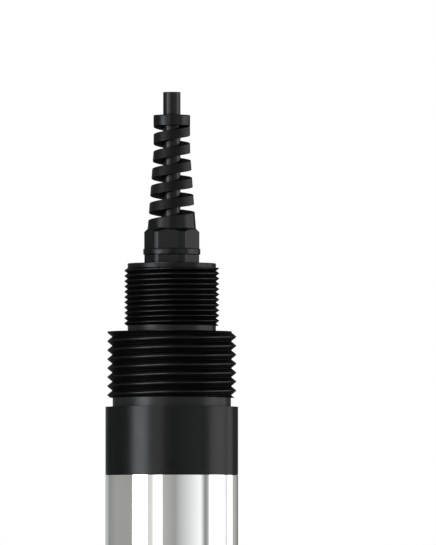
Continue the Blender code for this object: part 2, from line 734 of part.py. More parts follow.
def make_cable():
    """The cable's jacket, from its cut end down into the head, and its four cores."""
    jacket_bottom = HEAD_TOP - GLAND_STEM_LENGTH - CABLE_TAIL
    bore = CABLE_RADIUS - CABLE_WALL
    turned(
        "cable_jacket",
        [
            (CABLE_RADIUS, CABLE_END),
            (CABLE_RADIUS, jacket_bottom),
            (bore, jacket_bottom),
            (bore, CABLE_END),
        ],
        CABLE_SHEATH,
        RING_SEGMENTS,
    )
    lay = bore - CORE_DIAMETER / 2 - SEAM
    for i, (colour, material) in enumerate(CORE_COLOURS.items()):
        angle = math.radians(225 - 90 * i)
        core_in_jacket = Vector((lay * math.cos(angle), lay * math.sin(angle), 0.0))
        clamp = Vector((terminal_x(i), terminal_y(), MAIN_BOARD_TOP))
        make_core(f"core_{colour}", core_in_jacket, clamp, jacket_bottom, material)


def make_core(name, in_jacket, clamp, jacket_bottom, material):
    """One insulated core: straight in the jacket, then a smooth sweep to its clamp."""
    top = Vector((in_jacket.x, in_jacket.y, CABLE_END))
    leave = Vector((in_jacket.x, in_jacket.y, jacket_bottom))
    points = [top]
    for step in range(CORE_STEPS + 1):
        t = step / CORE_STEPS
        blend = t * t * (3 - 2 * t)
        level = leave.z + (clamp.z - leave.z) * t
        point = leave.lerp(clamp, blend)
        points.append(Vector((point.x, point.y, level)))
    points.append(clamp - Vector((0, 0, CORE_IN_CLAMP)))
    curve = bpy.data.curves.new(name, "CURVE")
    curve.dimensions = "3D"
    curve.bevel_depth = CORE_DIAMETER / 2
    curve.bevel_resolution = 1
    curve.use_fill_caps = True
    spline = curve.splines.new("POLY")
    spline.points.add(len(points) - 1)
    for target, point in zip(spline.points, points):
        target.co = (*point, 1.0)
    return add_object(name, curve, material)


def make_cap():
    """The screw-on sensing cap with its O-ring and the coated foil that the water wets."""
    floor_top = CAP_RECESS_DEPTH + CAP_FLOOR
    bore = NOSE_RADIUS + SLIDE_GAP
    groove = bore + CAP_RING_CORD - SLIDE_GAP + 2 * RING_GAP
    ring_level = CAP_LENGTH - CAP_RING_FROM_TOP
    half = CAP_RING_CORD / 2 + RING_GAP
    rim_inner = BODY_RADIUS - CAP_EDGE - CAP_RIM_WIDTH
    foil_radius = FOIL_DIAMETER / 2
    lip_top = CAP_RECESS_DEPTH + FOIL_LIP
    turned(
        "sensing_cap",
        [
            (BODY_RADIUS - CAP_TOP_EDGE, CAP_LENGTH),
            (BODY_RADIUS, CAP_LENGTH - CAP_TOP_EDGE),
            (BODY_RADIUS, CAP_EDGE),
            (BODY_RADIUS - CAP_EDGE, 0.0),
            (rim_inner, 0.0),
            (rim_inner - CAP_RECESS_DEPTH, CAP_RECESS_DEPTH),
            (foil_radius - FOIL_LIP_WIDTH, CAP_RECESS_DEPTH),
            (foil_radius - FOIL_LIP_WIDTH, lip_top),
            (foil_radius + SLIDE_GAP, lip_top),
            (foil_radius + SLIDE_GAP, floor_top),
            (bore, floor_top),
            (bore, ring_level - half),
            (groove, ring_level - half),
            (groove, ring_level + half),
            (bore, ring_level + half),
            (bore, CAP_LENGTH),
        ],
        BLACK_POM,
    )
    o_ring("cap_o_ring", NOSE_RADIUS + RING_GAP, CAP_RING_CORD, ring_level)
    foil_bottom = lip_top + SEAT_GAP
    disc("sensing_foil", foil_radius, foil_bottom, foil_bottom + FOIL_THICKNESS, SENSING_COATING)


def make_nose():
    """The nose: a collar as wide as the tube, the spigot above it and the optics bore below."""
    top = NOSE_SPIGOT_TOP
    collar_top = TUBE_BOTTOM - SEAM
    ring_levels = [
        collar_top + SPIGOT_RING_FIRST,
        collar_top + SPIGOT_RING_FIRST + SPIGOT_RING_SPACING,
    ]
    core_radius = NOSE_RADIUS - NOSE_THREAD_DEPTH - THREAD_RELIEF_DEPTH
    thread_bottom = NOSE_END + NOSE_THREAD_START
    thread_top = thread_bottom + NOSE_THREAD_LENGTH
    nose = turned(
        "nose_housing",
        [
            (SPIGOT_RADIUS - SPIGOT_EDGE, top),
            (SPIGOT_RADIUS, top - SPIGOT_EDGE),
            *grooves_down(SPIGOT_RADIUS, SPIGOT_GROOVE_RADIUS, ring_levels, SPIGOT_RING_CORD),
            (SPIGOT_RADIUS, collar_top),
            (BODY_RADIUS, collar_top),
            (BODY_RADIUS, NOSE_SHOULDER),
            (NOSE_RADIUS, NOSE_SHOULDER),
            (NOSE_RADIUS, thread_top + NOSE_THREAD_RELIEF),
            (core_radius, thread_top + NOSE_THREAD_RELIEF),
            (core_radius, NOSE_END + NOSE_EDGE),
            (core_radius - NOSE_EDGE, NOSE_END),
            (OPTICS_RADIUS - OPTICS_LIP_WIDTH, NOSE_END),
            (OPTICS_RADIUS - OPTICS_LIP_WIDTH, NOSE_END + OPTICS_LIP),
            (OPTICS_RADIUS, NOSE_END + OPTICS_LIP),
            (OPTICS_RADIUS, BAY_FLOOR),
            (BAY_RADIUS, BAY_FLOOR),
            (BAY_RADIUS, top),
        ],
        BLACK_POM,
    )
    nose_thread = thread(
        "nose_thread",
        2 * (NOSE_RADIUS - NOSE_THREAD_DEPTH),
        2 * NOSE_RADIUS,
        NOSE_THREAD_PITCH,
        thread_bottom,
        thread_top,
        thread_bottom,
    )
    combine(nose, nose_thread, "UNION")
    for number, level in enumerate(ring_levels, 1):
        o_ring(f"nose_o_ring_{number}", SPIGOT_GROOVE_RADIUS + RING_GAP, SPIGOT_RING_CORD, level)
    ring_inner = OPTICS_RADIUS - RING_GAP - WINDOW_RING_CORD
    o_ring("window_o_ring", ring_inner, WINDOW_RING_CORD, WINDOW_RING_LEVEL)
    disc(
        "optical_window",
        OPTICS_RADIUS - SLIDE_GAP,
        WINDOW_BOTTOM,
        WINDOW_BOTTOM + WINDOW_THICKNESS,
        CLEAR_GLASS,
    )


def on_circle(diameter, degrees):
    """The point at an angle on a circle about the axis."""
    angle = math.radians(degrees)
    return (diameter / 2 * math.cos(angle), diameter / 2 * math.sin(angle))


LAMP_PLACES = {"excitation_led": 210.0, "reference_led": 330.0}
DETECTOR_PLACE = 90.0
SCREW_PLACES = (0.0, 180.0)
THERMISTOR_PLACE = 270.0


def make_optics():
    """The optical block with its two lamps, detector, filter and thermistor, under a round board."""
    lamp_bore = LAMP_DIAMETER / 2 + LAMP_FLANGE + SLIDE_GAP
    detector_bore = DETECTOR_DIAMETER / 2 + SLIDE_GAP
    filter_bottom = BLOCK_TOP - DETECTOR_HEIGHT - FILTER_THICKNESS - SEAT_GAP
    step_level = filter_bottom - SEAT_GAP
    screw_hole = SCREW_DIAMETER / 2 + SLIDE_GAP
    body = disc("optical_block", OPTICS_RADIUS - SLIDE_GAP, BLOCK_BOTTOM, BLOCK_TOP, BLACK_POM)
    board = disc(
        "optics_board",
        BAY_RADIUS - SLIDE_GAP,
        OPTICS_BOARD_BOTTOM,
        OPTICS_BOARD_TOP,
        BOARD_GREEN,
    )
    below = BLOCK_BOTTOM - SEAT_GAP
    above = BLOCK_TOP + SEAT_GAP
    for name, place in LAMP_PLACES.items():
        centre = on_circle(LAMP_CIRCLE, place)
        bore = disc(name + "_bore", lamp_bore, below, above, None, centre, SMALL_SEGMENTS)
        combine(body, bore, "DIFFERENCE")
        make_lamp(name, centre, BLUE_LENS if name.startswith("excitation") else RED_LENS)
    centre = on_circle(LAMP_CIRCLE, DETECTOR_PLACE)
    wide = disc("detector_bore", detector_bore, step_level, above, None, centre, SMALL_SEGMENTS)
    narrow = disc("light_bore", LIGHT_APERTURE / 2, below, BLOCK_TOP, None, centre, SMALL_SEGMENTS)
    combine(body, wide, "DIFFERENCE")
    combine(body, narrow, "DIFFERENCE")
    radius = DETECTOR_DIAMETER / 2
    disc(
        "emission_filter",
        radius,
        filter_bottom,
        filter_bottom + FILTER_THICKNESS,
        RED_GLASS,
        centre,
        SMALL_SEGMENTS,
    )
    disc("photodiode", radius, BLOCK_TOP - DETECTOR_HEIGHT, BLOCK_TOP, TIN_CAN, centre, SMALL_SEGMENTS)
    centre = on_circle(OUTER_FEATURE_CIRCLE, THERMISTOR_PLACE)
    well = THERMISTOR_DIAMETER / 2 + SLIDE_GAP
    bottom = BLOCK_TOP - THERMISTOR_LENGTH
    hole = disc("thermistor_well", well, bottom - SEAT_GAP, above, None, centre, SMALL_SEGMENTS)
    combine(body, hole, "DIFFERENCE")
    disc("thermistor", THERMISTOR_DIAMETER / 2, bottom, BLOCK_TOP, TIN_CAN, centre, SMALL_SEGMENTS)
    for number, place in enumerate(SCREW_PLACES, 1):
        centre = on_circle(OUTER_FEATURE_CIRCLE, place)
        bottom = OPTICS_BOARD_TOP + SEAT_GAP - SCREW_LENGTH
        hole = disc(
            f"screw_hole_{number}",
            screw_hole,
            bottom - SEAT_GAP,
            OPTICS_BOARD_TOP + SEAT_GAP,
            None,
            centre,
            SMALL_SEGMENTS,
        )
        combine(body, hole, "DIFFERENCE")
        combine(board, hole, "DIFFERENCE")
        make_screw(f"board_screw_{number}", centre, bottom)


def moved(obj, centre):
    """Places a piece that was turned about its own axis."""
    obj.location.x, obj.location.y = centre
    return obj


def make_lamp(name, centre, material):
    """A round lamp with a domed lens that points down and a flange under the board."""
    radius = LAMP_DIAMETER / 2
    top = BLOCK_TOP
    flange_bottom = top - 2 * LAMP_FLANGE
    tip = top - LAMP_HEIGHT
    dome = []
    for angle in (0.0, math.pi / 6, math.pi / 3):
        dome.append((radius * math.cos(angle), tip + radius - radius * math.sin(angle)))
    profile = [(0.0, top), (radius + LAMP_FLANGE, top), (radius + LAMP_FLANGE, flange_bottom)]
    profile += [(radius, flange_bottom), *dome, (0.0, tip)]
    return moved(solid_of_revolution(name, profile, material), centre)


def make_screw(name, centre, bottom):
    """A pan-headed screw through the optics board into the block."""
    head_bottom = OPTICS_BOARD_TOP + SEAT_GAP
    head_top = head_bottom + SCREW_HEAD_HEIGHT
    shank = SCREW_DIAMETER / 2
    head = SCREW_HEAD_DIAMETER / 2
    profile = [
        (0.0, head_top),
        (head * 0.7, head_top),
        (head, head_top - SCREW_HEAD_HEIGHT / 3),
        (head, head_bottom),
        (shank, head_bottom),
        (shank, bottom),
        (0.0, bottom),
    ]
    return moved(solid_of_revolution(name, profile, TIN_CAN), centre)


def solid_of_revolution(name, profile, material, segments=SMALL_SEGMENTS):
    """A turned piece without a bore: an outline that starts and ends on its axis, top to bottom."""
    mesh = bpy.data.meshes.new(name)
    points = [(radius, 0.0, height) for radius, height in profile]
    mesh.from_pydata(points, [(i, i + 1) for i in range(len(points) - 1)], [])
    obj = add_object(name, mesh, material)
    screw = obj.modifiers.new("Turn", "SCREW")
    screw.axis = "Z"
    screw.angle = math.tau
    screw.steps = screw.render_steps = segments
    screw.use_merge_vertices = True
    screw.merge_threshold = MERGE
    screw.use_smooth_shade = True
    return obj


def terminal_x(index):
    """The place across the board of one of the clamps."""
    return (index - (len(CORE_COLOURS) - 1) / 2) * TERMINAL_PITCH


def terminal_y():
    """The distance of the clamps from the axis, in front of the board."""
    return BOARD_THICKNESS / 2 + SEAM + TERMINAL_DEPTH / 2


def make_electronics():
    """The main board in its carrier, the header under it and the parts on it."""
    ring_radius = BAY_RADIUS - SLIDE_GAP
    rail_outer = math.sqrt(ring_radius**2 - (CARRIER_RAIL_WIDTH / 2) ** 2)
    rail_inner = ring_radius - CARRIER_WALL - GROOVE_DEPTH
    board_half = rail_inner + GROOVE_DEPTH - SLIDE_GAP
    foot = OPTICS_BOARD_TOP + SEAT_GAP
    carrier = turned(
        "board_carrier",
        [
            (ring_radius, foot + CARRIER_RING_HEIGHT),
            (ring_radius, foot),
            (ring_radius - CARRIER_WALL, foot),
            (ring_radius - CARRIER_WALL, foot + CARRIER_RING_HEIGHT),
        ],
        CARRIER_GREY,
    )
    rail_length = CARRIER_TOP - foot
    for side, sign in (("left", -1), ("right", 1)):
        rail = block(
            f"rail_{side}",
            (rail_outer - rail_inner, CARRIER_RAIL_WIDTH, rail_length - SEAM),
            (sign * (rail_outer + rail_inner) / 2, 0, foot + rail_length / 2),
        )
        groove = block(
            f"groove_{side}",
            (2 * GROOVE_DEPTH, BOARD_THICKNESS + 2 * SLIDE_GAP, rail_length * 2),
            (sign * rail_inner, 0, foot + rail_length),
        )
        combine(carrier, combine(rail, groove, "DIFFERENCE"), "UNION")
    block(
        "main_board",
        (2 * board_half, BOARD_THICKNESS, MAIN_BOARD_LENGTH),
        (0, 0, (MAIN_BOARD_BOTTOM + MAIN_BOARD_TOP) / 2),
        BOARD_GREEN,
    )
    block(
        "board_header",
        (HEADER_LENGTH, HEADER_WIDTH, HEADER_HEIGHT),
        (0, 0, OPTICS_BOARD_TOP + SEAT_GAP + HEADER_HEIGHT / 2),
        CHIP_BLACK,
    )
    front = BOARD_THICKNESS / 2 + SEAM
    for name, size, height in (
        ("microcontroller", CHIP_SIZE, CHIP_HEIGHT_ON_BOARD),
        ("bus_transceiver", TRANSCEIVER_SIZE, TRANSCEIVER_HEIGHT_ON_BOARD),
    ):
        block(name, size, (0, front + size[1] / 2, MAIN_BOARD_BOTTOM + height), CHIP_BLACK)
    can_radius = CAPACITOR_DIAMETER / 2
    can = disc("supply_capacitor", can_radius, 0, CAPACITOR_LENGTH, TIN_CAN, segments=SMALL_SEGMENTS)
    can.rotation_euler.x = math.radians(90)
    can.location = (0, -front, MAIN_BOARD_BOTTOM + CAPACITOR_HEIGHT_ON_BOARD)
    make_terminals(front)


def make_terminals(front):
    """The terminal block: an entry for each core from above, and a screw well in front of it."""
    body = block(
        "terminal_block",
        (len(CORE_COLOURS) * TERMINAL_PITCH + 2 * TERMINAL_WALL, TERMINAL_DEPTH, TERMINAL_HEIGHT),
        (0, front + TERMINAL_DEPTH / 2, MAIN_BOARD_TOP - TERMINAL_HEIGHT / 2),
        TERMINAL_GREEN,
    )
    mesh = bpy.data.meshes.new("terminal_entries")
    bm = bmesh.new()
    entry = CORE_DIAMETER + 2 * SEAT_GAP
    depth = CORE_IN_CLAMP + SEAT_GAP
    for i in range(len(CORE_COLOURS)):
        place = Matrix.Translation((terminal_x(i), terminal_y(), MAIN_BOARD_TOP))
        size = Matrix.Diagonal((entry, entry, 2 * depth, 1.0))
        bmesh.ops.create_cube(bm, size=1.0, matrix=place @ size)
        face = (terminal_x(i), front + TERMINAL_DEPTH, MAIN_BOARD_TOP - TERMINAL_HEIGHT / 2 - depth / 2)
        bmesh.ops.create_cone(
            bm,
            cap_ends=True,
            segments=12,
            radius1=TERMINAL_SCREW / 2,
            radius2=TERMINAL_SCREW / 2,
            depth=2 * TERMINAL_SCREW_DEPTH,
            matrix=Matrix.Translation(face) @ Matrix.Rotation(math.pi / 2, 4, "X"),
        )
    bm.to_mesh(mesh)
    bm.free()
    combine(body, add_object("terminal_entries", mesh), "DIFFERENCE")


def keep_edges_crisp():
    """Splits the shading at real edges, so that only round surfaces look smooth."""
    for obj in PIECES.objects:
        if obj.type == "MESH" and "o_ring" not in obj.name:
            split = obj.modifiers.new("Crisp edges", "EDGE_SPLIT")
            split.split_angle = math.radians(EDGE_ANGLE)


make_head()
make_tube()
make_gland()
make_nut()
make_cable()
make_cap()
make_nose()
make_optics()
make_electronics()
keep_edges_crisp()
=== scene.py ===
"""Looks of the optical dissolved oxygen sensor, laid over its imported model.

The outer pieces are made again here with fine outlines and small edge radii: the black head with its
two pipe threads, the cable gland with its spiral bend protector, the polished tube, the nose and the
sensing cap. The pieces inside keep their CAD shape and get their real finish. Z is the sensor's axis.
A piece's sizes are in millimetres and its outlines are points (radius, level). They turn into metres
where a mesh is made of them. The studio's sizes are in metres.
"""

import logging
import math
from dataclasses import dataclass
from enum import Enum
from typing import Callable, Optional, Sequence

import bmesh
import bpy
from mathutils import Matrix, Vector


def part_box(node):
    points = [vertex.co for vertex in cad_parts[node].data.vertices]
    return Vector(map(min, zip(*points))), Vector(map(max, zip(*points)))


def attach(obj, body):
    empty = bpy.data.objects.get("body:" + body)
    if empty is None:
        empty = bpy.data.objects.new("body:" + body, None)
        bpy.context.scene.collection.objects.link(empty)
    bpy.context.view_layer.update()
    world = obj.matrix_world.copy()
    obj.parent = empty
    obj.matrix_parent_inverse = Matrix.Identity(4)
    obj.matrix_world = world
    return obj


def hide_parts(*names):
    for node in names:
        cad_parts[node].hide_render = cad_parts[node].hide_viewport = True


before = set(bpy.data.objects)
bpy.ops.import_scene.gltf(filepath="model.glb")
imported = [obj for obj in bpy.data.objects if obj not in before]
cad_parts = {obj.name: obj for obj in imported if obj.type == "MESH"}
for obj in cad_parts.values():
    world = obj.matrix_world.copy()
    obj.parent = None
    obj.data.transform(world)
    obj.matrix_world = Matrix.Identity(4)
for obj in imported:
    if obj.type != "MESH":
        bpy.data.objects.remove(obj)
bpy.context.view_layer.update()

MM = 0.001
# Steps of a turn on a round piece, where no other number is given
FINE = 144
# Points this near to each other, in millimetres, become one
JOIN = 0.0005
# Slack, in millimetres, of the test for a thread's faces
SLACK = 0.05
# An outline that is straighter than this at a point has no corner there
STRAIGHT = math.radians(160)
# Edges of the remade pieces, and of the CAD pieces, stay sharp from these angles on
FINE_SHARP = math.radians(55)
CAD_SHARP = math.radians(32)
LOG = logging.getLogger("oxygen_sensor")

Point = tuple[float, float]
Place = tuple[float, float, float]
Colour = tuple[float, float, float, float]
Column = Callable[[float], Sequence[Point]]
Face = bpy.types.MeshPolygon
Zone = tuple["Finish", Callable[[Face], bool]]


class Carrier(Enum):
    """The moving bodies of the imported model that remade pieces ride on."""

    SENSOR = "sensor"
    NUT_RING = "nut_ring"
    NUT = "nut"
    CAP = "cap"


class Slot(Enum):
    """The record's material slots of the remade pieces."""

    ACETAL = "black_pom"
    NYLON = "black_nylon"
    SHEATH = "cable_sheath"
    STEEL = "polished_steel"


class Tint(Enum):
    """The colours of the studio's cloths and papers."""

    WHITE = "#ffffff"
    WARM = "#fffefb"
    COOL = "#fafeff"
    BLUISH = "#f2f5ff"
    PAPER = "#f4f4f4"
    CEILING = "#2a2a2a"
    BOTTOM = "#b0b0b0"


def linear(hex_colour: str) -> Colour:
    """Turns an sRGB hex colour into a linear one.

    Args:
        hex_colour: six hex digits with a leading hash.

    Returns:
        Red, green, blue and an alpha of 1, all linear.
    """
    values = [int(hex_colour[i : i + 2], 16) / 255 for i in (1, 3, 5)]
    lit = [v / 12.92 if v <= 0.04045 else ((v + 0.055) / 1.055) ** 2.4 for v in values]
    return (lit[0], lit[1], lit[2], 1.0)


def add_node(
    tree: bpy.types.NodeTree,
    kind: str,
    values: Optional[dict] = None,
    links: Optional[dict] = None,
    stops: Sequence[tuple[float, Colour]] = (),
    **settings: str,
) -> bpy.types.Node:
    """Adds a shader node with its socket values, incoming links, ramp stops and settings.

    Args:
        tree: the node tree it goes into.
        kind: Blender's type name of the node, without the ShaderNode in front.
        values: constant values by input name or index.
        links: output sockets by input name or index. A node stands for its first output.
        stops: position and linear colour of each stop of a ramp, in order.
        settings: attributes of the node.

    Returns:
        The new node.
    """
    node = tree.nodes.new(f"ShaderNode{kind}")
    for name, value in settings.items():
        setattr(node, name, value)
    for name, value in (values or {}).items():
        node.inputs[name].default_value = value
    for name, source in (links or {}).items():
        socket = source.outputs[0] if isinstance(source, bpy.types.Node) else source
        tree.links.new(socket, node.inputs[name])
    if stops:
        node.color_ramp.elements.remove(node.color_ramp.elements[1])
        node.color_ramp.elements[0].position, node.color_ramp.elements[0].color = stops[0]
    for position, colour in stops[1:]:
        node.color_ramp.elements.new(position).color = colour
    return node


def blank_tree(owner: bpy.types.ID) -> bpy.types.NodeTree:
    """Turns on the nodes of a new material or world and clears them.

    Args:
        owner: the material or world.

    Returns:
        Its empty node tree.
    """
    owner.use_nodes = True
    owner.node_tree.nodes.clear()
    return owner.node_tree


def per_mm(count: float) -> float:
    """Turns a number of features per millimetre into a texture scale per metre."""
    return count / MM


@dataclass(frozen=True)
class Canvas:
    """A material while its texture is added: tree, Principled node and object coordinates."""

    tree: bpy.types.NodeTree
    shader: bpy.types.Node
    place: bpy.types.NodeSocket

    def feed(self, name: str, node: bpy.types.Node) -> None:
        """Links a node's first output to the shader's input of that name."""
        self.tree.links.new(node.outputs[0], self.shader.inputs[name])


@dataclass(frozen=True)
class Finish:
    """A surface as it was made: the shader's constants, and a subclass adds its texture.

    Attributes:
        name: the material's name.
        colour: its colour in sRGB hex.
        roughness: its middle roughness.
        metallic: 1 for a metal.
        ior: its index of refraction.
        specular: level of its gloss where it faces the eye.
        soft_rim: whether the gloss goes down where it turns away.
        rim: level of the gloss there.
        rim_from: how far it is turned away, from 0 to 1, where the gloss has come down to that.
    """

    name: str
    colour: str
    roughness: float
    metallic: float = 0.0
    ior: float = 1.5
    specular: float = 0.5
    soft_rim: bool = False
    rim: float = 0.012
    rim_from: float = 0.66

    def material(self) -> bpy.types.Material:
        """Makes the material once and hands it out again after that.

        Returns:
            The material with its texture.
        """
        made = bpy.data.materials.get(self.name)
        if made:
            return made
        made = bpy.data.materials.new(self.name)
        made.diffuse_color = linear(self.colour)
        tree = blank_tree(made)
        constants = {
            "Base Color": linear(self.colour),
            "Roughness": self.roughness,
            "Metallic": self.metallic,
            "IOR": self.ior,
            "Specular IOR Level": self.specular,
        }
        shader = add_node(tree, "BsdfPrincipled", constants)
        add_node(tree, "OutputMaterial", links={"Surface": shader})
        canvas = Canvas(tree, shader, add_node(tree, "TexCoord").outputs["Object"])
        self.texture(canvas)
        if self.soft_rim:
            self.fade_sheen(canvas)
        return made

    def texture(self, canvas: Canvas) -> None:
        """Adds what moulding leaves on a surface: mottled gloss, and a fine grain drawn coarser to show."""
        self.mottle(canvas, patch_mm=3.0, spread=0.04)
        self.relief(canvas, width_mm=0.25, depth_mm=0.003)

    def fade_sheen(self, canvas: Canvas) -> None:
        """Takes the gloss down where the surface turns away, as matted black plastic does.

        Args:
            canvas: the material so far.
        """
        turn = add_node(canvas.tree, "LayerWeight", {"Blend": 0.5}).outputs["Facing"]
        levels = {"From Max": self.rim_from, "To Min": self.specular, "To Max": self.rim}
        canvas.feed("Specular IOR Level", add_node(canvas.tree, "MapRange", levels, {"Value": turn}))

    def mottle(self, canvas: Canvas, patch_mm: float, spread: float, lift: float = 0.25) -> None:
        """Lets roughness and colour drift in soft patches, as handling and moulding leave them.

        Args:
            canvas: the material so far.
            patch_mm: width of a patch.
            spread: how far the roughness strays to each side.
            lift: how much lighter the colour gets in a patch, as a share.
        """
        pattern = {"Scale": per_mm(1 / patch_mm), "Detail": 4.0, "Roughness": 0.55}
        noise = add_node(canvas.tree, "TexNoise", pattern, {"Vector": canvas.place})
        low, high = max(self.roughness - spread, 0.01), min(self.roughness + spread, 1.0)
        levels = {"From Min": 0.3, "From Max": 0.7, "To Min": low, "To Max": high}
        canvas.feed("Roughness", add_node(canvas.tree, "MapRange", levels, {"Value": noise}))
        base = linear(self.colour)
        light = tuple(min(channel * (1 + lift), 1.0) for channel in base[:3]) + (1.0,)
        stops = [(0.35, base), (0.7, light)]
        canvas.feed("Base Color", add_node(canvas.tree, "ValToRGB", links={"Fac": noise}, stops=stops))

    def relief(
        self,
        canvas: Canvas,
        width_mm: float,
        depth_mm: float,
        strength: float = 0.6,
        stretch: Place = (1.0, 1.0, 1.0),
        octaves: float = 2.0,
        harshness: float = 0.5,
    ) -> None:
        """Adds a fine relief: an even grain, or lines where it is drawn out.

        Args:
            canvas: the material so far.
            width_mm: width of a grain or a line.
            depth_mm: height of the relief.
            strength: how much of the relief the light sees.
            stretch: scale along X, Y and Z. A small one draws the grains out along that axis.
            octaves: how many finer layers the noise has.
            harshness: how much the finer layers count.
        """
        drawn = add_node(canvas.tree, "Mapping", {"Scale": stretch}, {"Vector": canvas.place})
        pattern = {"Scale": per_mm(1 / width_mm), "Detail": octaves, "Roughness": harshness}
        noise = add_node(canvas.tree, "TexNoise", pattern, {"Vector": drawn})
        depth = {"Strength": strength, "Distance": depth_mm * MM}
        canvas.feed("Normal", add_node(canvas.tree, "Bump", depth, {"Height": noise}))


@dataclass(frozen=True)
class TurnedAcetal(Finish):
    """Black acetal turned on a lathe: satin, with faint rings that draw the highlights out sideways.

    The rings are drawn coarser than the real feed of 0.1 mm, so that they show.
    """

    soft_rim: bool = True
    ring_mm: float = 0.35

    def texture(self, canvas: Canvas) -> None:
        """Adds a slight drift in gloss and the lathe's rings."""
        self.mottle(canvas, patch_mm=6.0, spread=0.03)
        self.relief(
            canvas,
            self.ring_mm,
            depth_mm=0.003,
            strength=0.5,
            stretch=(0.02, 0.02, 1.0),
            octaves=3.0,
            harshness=0.6,
        )


@dataclass(frozen=True)
class PolishedStainless(Finish):
    """Stainless tube, belt-ground and then buffed: a mirror with faint rings and wiped patches.

    The rings are drawn coarser than the belt's real scratches, so that they show.
    """

    ring_mm: float = 0.3

    def texture(self, canvas: Canvas) -> None:
        """Adds a slight drift in gloss and the last traces of grinding round the tube."""
        self.mottle(canvas, patch_mm=14.0, spread=0.02, lift=0.03)
        self.relief(canvas, self.ring_mm, depth_mm=0.0003, strength=0.25, stretch=(0.05, 0.05, 1.0))


@dataclass(frozen=True)
class ExtrudedSheath(Finish):
    """Cable sheath or core insulation drawn through a die: satin, with faint lines along it.

    The lines are drawn coarser than the die's real ones, so that they show.
    """

    line_mm: float = 0.3

    def texture(self, canvas: Canvas) -> None:
        """Adds a slight drift in gloss and the die's lines, which run along the cable."""
        self.mottle(canvas, patch_mm=5.0, spread=0.04)
        self.relief(canvas, self.line_mm, depth_mm=0.004, strength=0.5, stretch=(1.0, 1.0, 0.03))


@dataclass(frozen=True)
class SolderMask(Finish):
    """Glass-fibre board under green solder mask: the copper tracks lift it into lighter lines.

    The tracks lie as far apart as the pins of the chips, and cross tracks join them at each run's end.
    """

    track_colour: str = "#2c6e45"
    track_mm: float = 0.5
    copper_mm: float = 0.035
    pitch_mm: float = 2.54
    run_mm: float = 5.0

    def texture(self, canvas: Canvas) -> None:
        """Adds the tracks as the joints of a brick pattern, lighter and slightly raised.

        Args:
            canvas: the material so far.
        """
        upright = {"Rotation": (math.pi / 2, 0.0, 0.0)}
        turned_up = add_node(canvas.tree, "Mapping", upright, {"Vector": canvas.place})
        pattern = {
            "Color1": linear(self.colour),
            "Color2": linear(self.colour),
            "Mortar": linear(self.track_colour),
            "Scale": per_mm(1.0),
            "Mortar Size": self.track_mm / 2,
            "Brick Width": self.run_mm,
            "Row Height": self.pitch_mm,
        }
        bricks = add_node(canvas.tree, "TexBrick", pattern, {"Vector": turned_up})
        canvas.feed("Base Color", bricks)
        depth = {"Strength": 0.6, "Distance": self.copper_mm * MM}
        canvas.feed("Normal", add_node(canvas.tree, "Bump", depth, {"Height": bricks.outputs["Fac"]}))


@dataclass(frozen=True)
class ClearBody(Finish):
    """Polished glass or cast epoxy: most light goes through it, tinted by its colour."""

    transmission: float = 1.0

    def texture(self, canvas: Canvas) -> None:
        """Lets light through and adds a wiped patchiness to the polish."""
        canvas.shader.inputs["Transmission Weight"].default_value = self.transmission
        self.mottle(canvas, patch_mm=8.0, spread=0.015, lift=0.02)


@dataclass(frozen=True)
class PorousCoating(Finish):
    """The sensing disc's dark silicone coating: matt, with a fleck like fine sand, drawn coarser to show."""

    def texture(self, canvas: Canvas) -> None:
        """Adds the fleck and a shallow cast relief."""
        self.mottle(canvas, patch_mm=0.5, spread=0.08, lift=1.2)
        self.relief(canvas, width_mm=0.3, depth_mm=0.02)


# Black acetal: satin black with a soft grey sheen. Turned, so its highlights stretch round it
ACETAL = TurnedAcetal("turned_black_acetal", "#040605", 0.3, ior=1.48, specular=0.2)
# Thread flanks in the same acetal: matt from the tool's side, and kept darker as painted shade in the
# grooves beside the satin crests
CUT_SHADE_ACETAL = Finish("thread_cut_black_acetal", "#040404", 0.5, ior=1.48, specular=0.07, soft_rim=True)
# Thread reliefs in the same acetal: plunged with a narrow tool, so a little rougher, and greyer as a painted
# sheen that stands in for their broader highlight
NECK_SHEEN_ACETAL = TurnedAcetal("plunged_black_acetal", "#141615", 0.33, ior=1.48, specular=0.2)
# Black nylon: moulded, as satin as the acetal, with the fine grain of a sparked mould
NYLON = Finish("moulded_black_nylon", "#050706", 0.3, ior=1.53, specular=0.19, soft_rim=True)
# The bands of the bend protector: a coarser mould, duller than the nut but paler where they turn away
SPIRAL_NYLON = Finish(
    "spark_matted_black_nylon", "#070807", 0.44, ior=1.53, specular=0.095, soft_rim=True, rim=0.065
)
# The walls of its slots and the bore behind them: dull from the mould cores, and darker as painted shade
# between the bands
SLOT_SHADE_NYLON = Finish("core_matted_black_nylon", "#020202", 0.6, ior=1.53, specular=0.03, soft_rim=True)
# Stainless steel buffed to a mirror: bright, neutral, with sharp bands of what stands round it
STEEL = PolishedStainless("buffed_stainless_steel", "#dcdcda", 0.05, metallic=1.0)
# Polyurethane cable sheath: extruded, satin black
SHEATH = ExtrudedSheath("extruded_polyurethane_sheath", "#080809", 0.28, specular=0.25, soft_rim=True)
# Nitrile rubber: moulded, matt, dark grey where light grazes it
RUBBER = Finish("moulded_nitrile_rubber", "#121212", 0.6, specular=0.3)
# Silicone with dye and pigment, cast thin on the disc: matt, dark wine red, flecked
COATING = PorousCoating("cast_sensing_coating", "#3a1d22", 0.6, specular=0.3)
# Window glass, ground and polished: clear, with a sharp bright edge
GLASS = ClearBody("polished_window_glass", "#eef4f5", 0.02, ior=1.52)
# Colour filter glass, polished: deep red all through
FILTER = ClearBody("polished_filter_glass", "#c02018", 0.03, ior=1.52)
# Lamp lenses cast in tinted epoxy: clear but softer in gloss than glass
BLUE_EPOXY = ClearBody("cast_blue_epoxy", "#5a86e0", 0.06, ior=1.53, transmission=0.8)
RED_EPOXY = ClearBody("cast_red_epoxy", "#e04a3a", 0.06, ior=1.53, transmission=0.8)
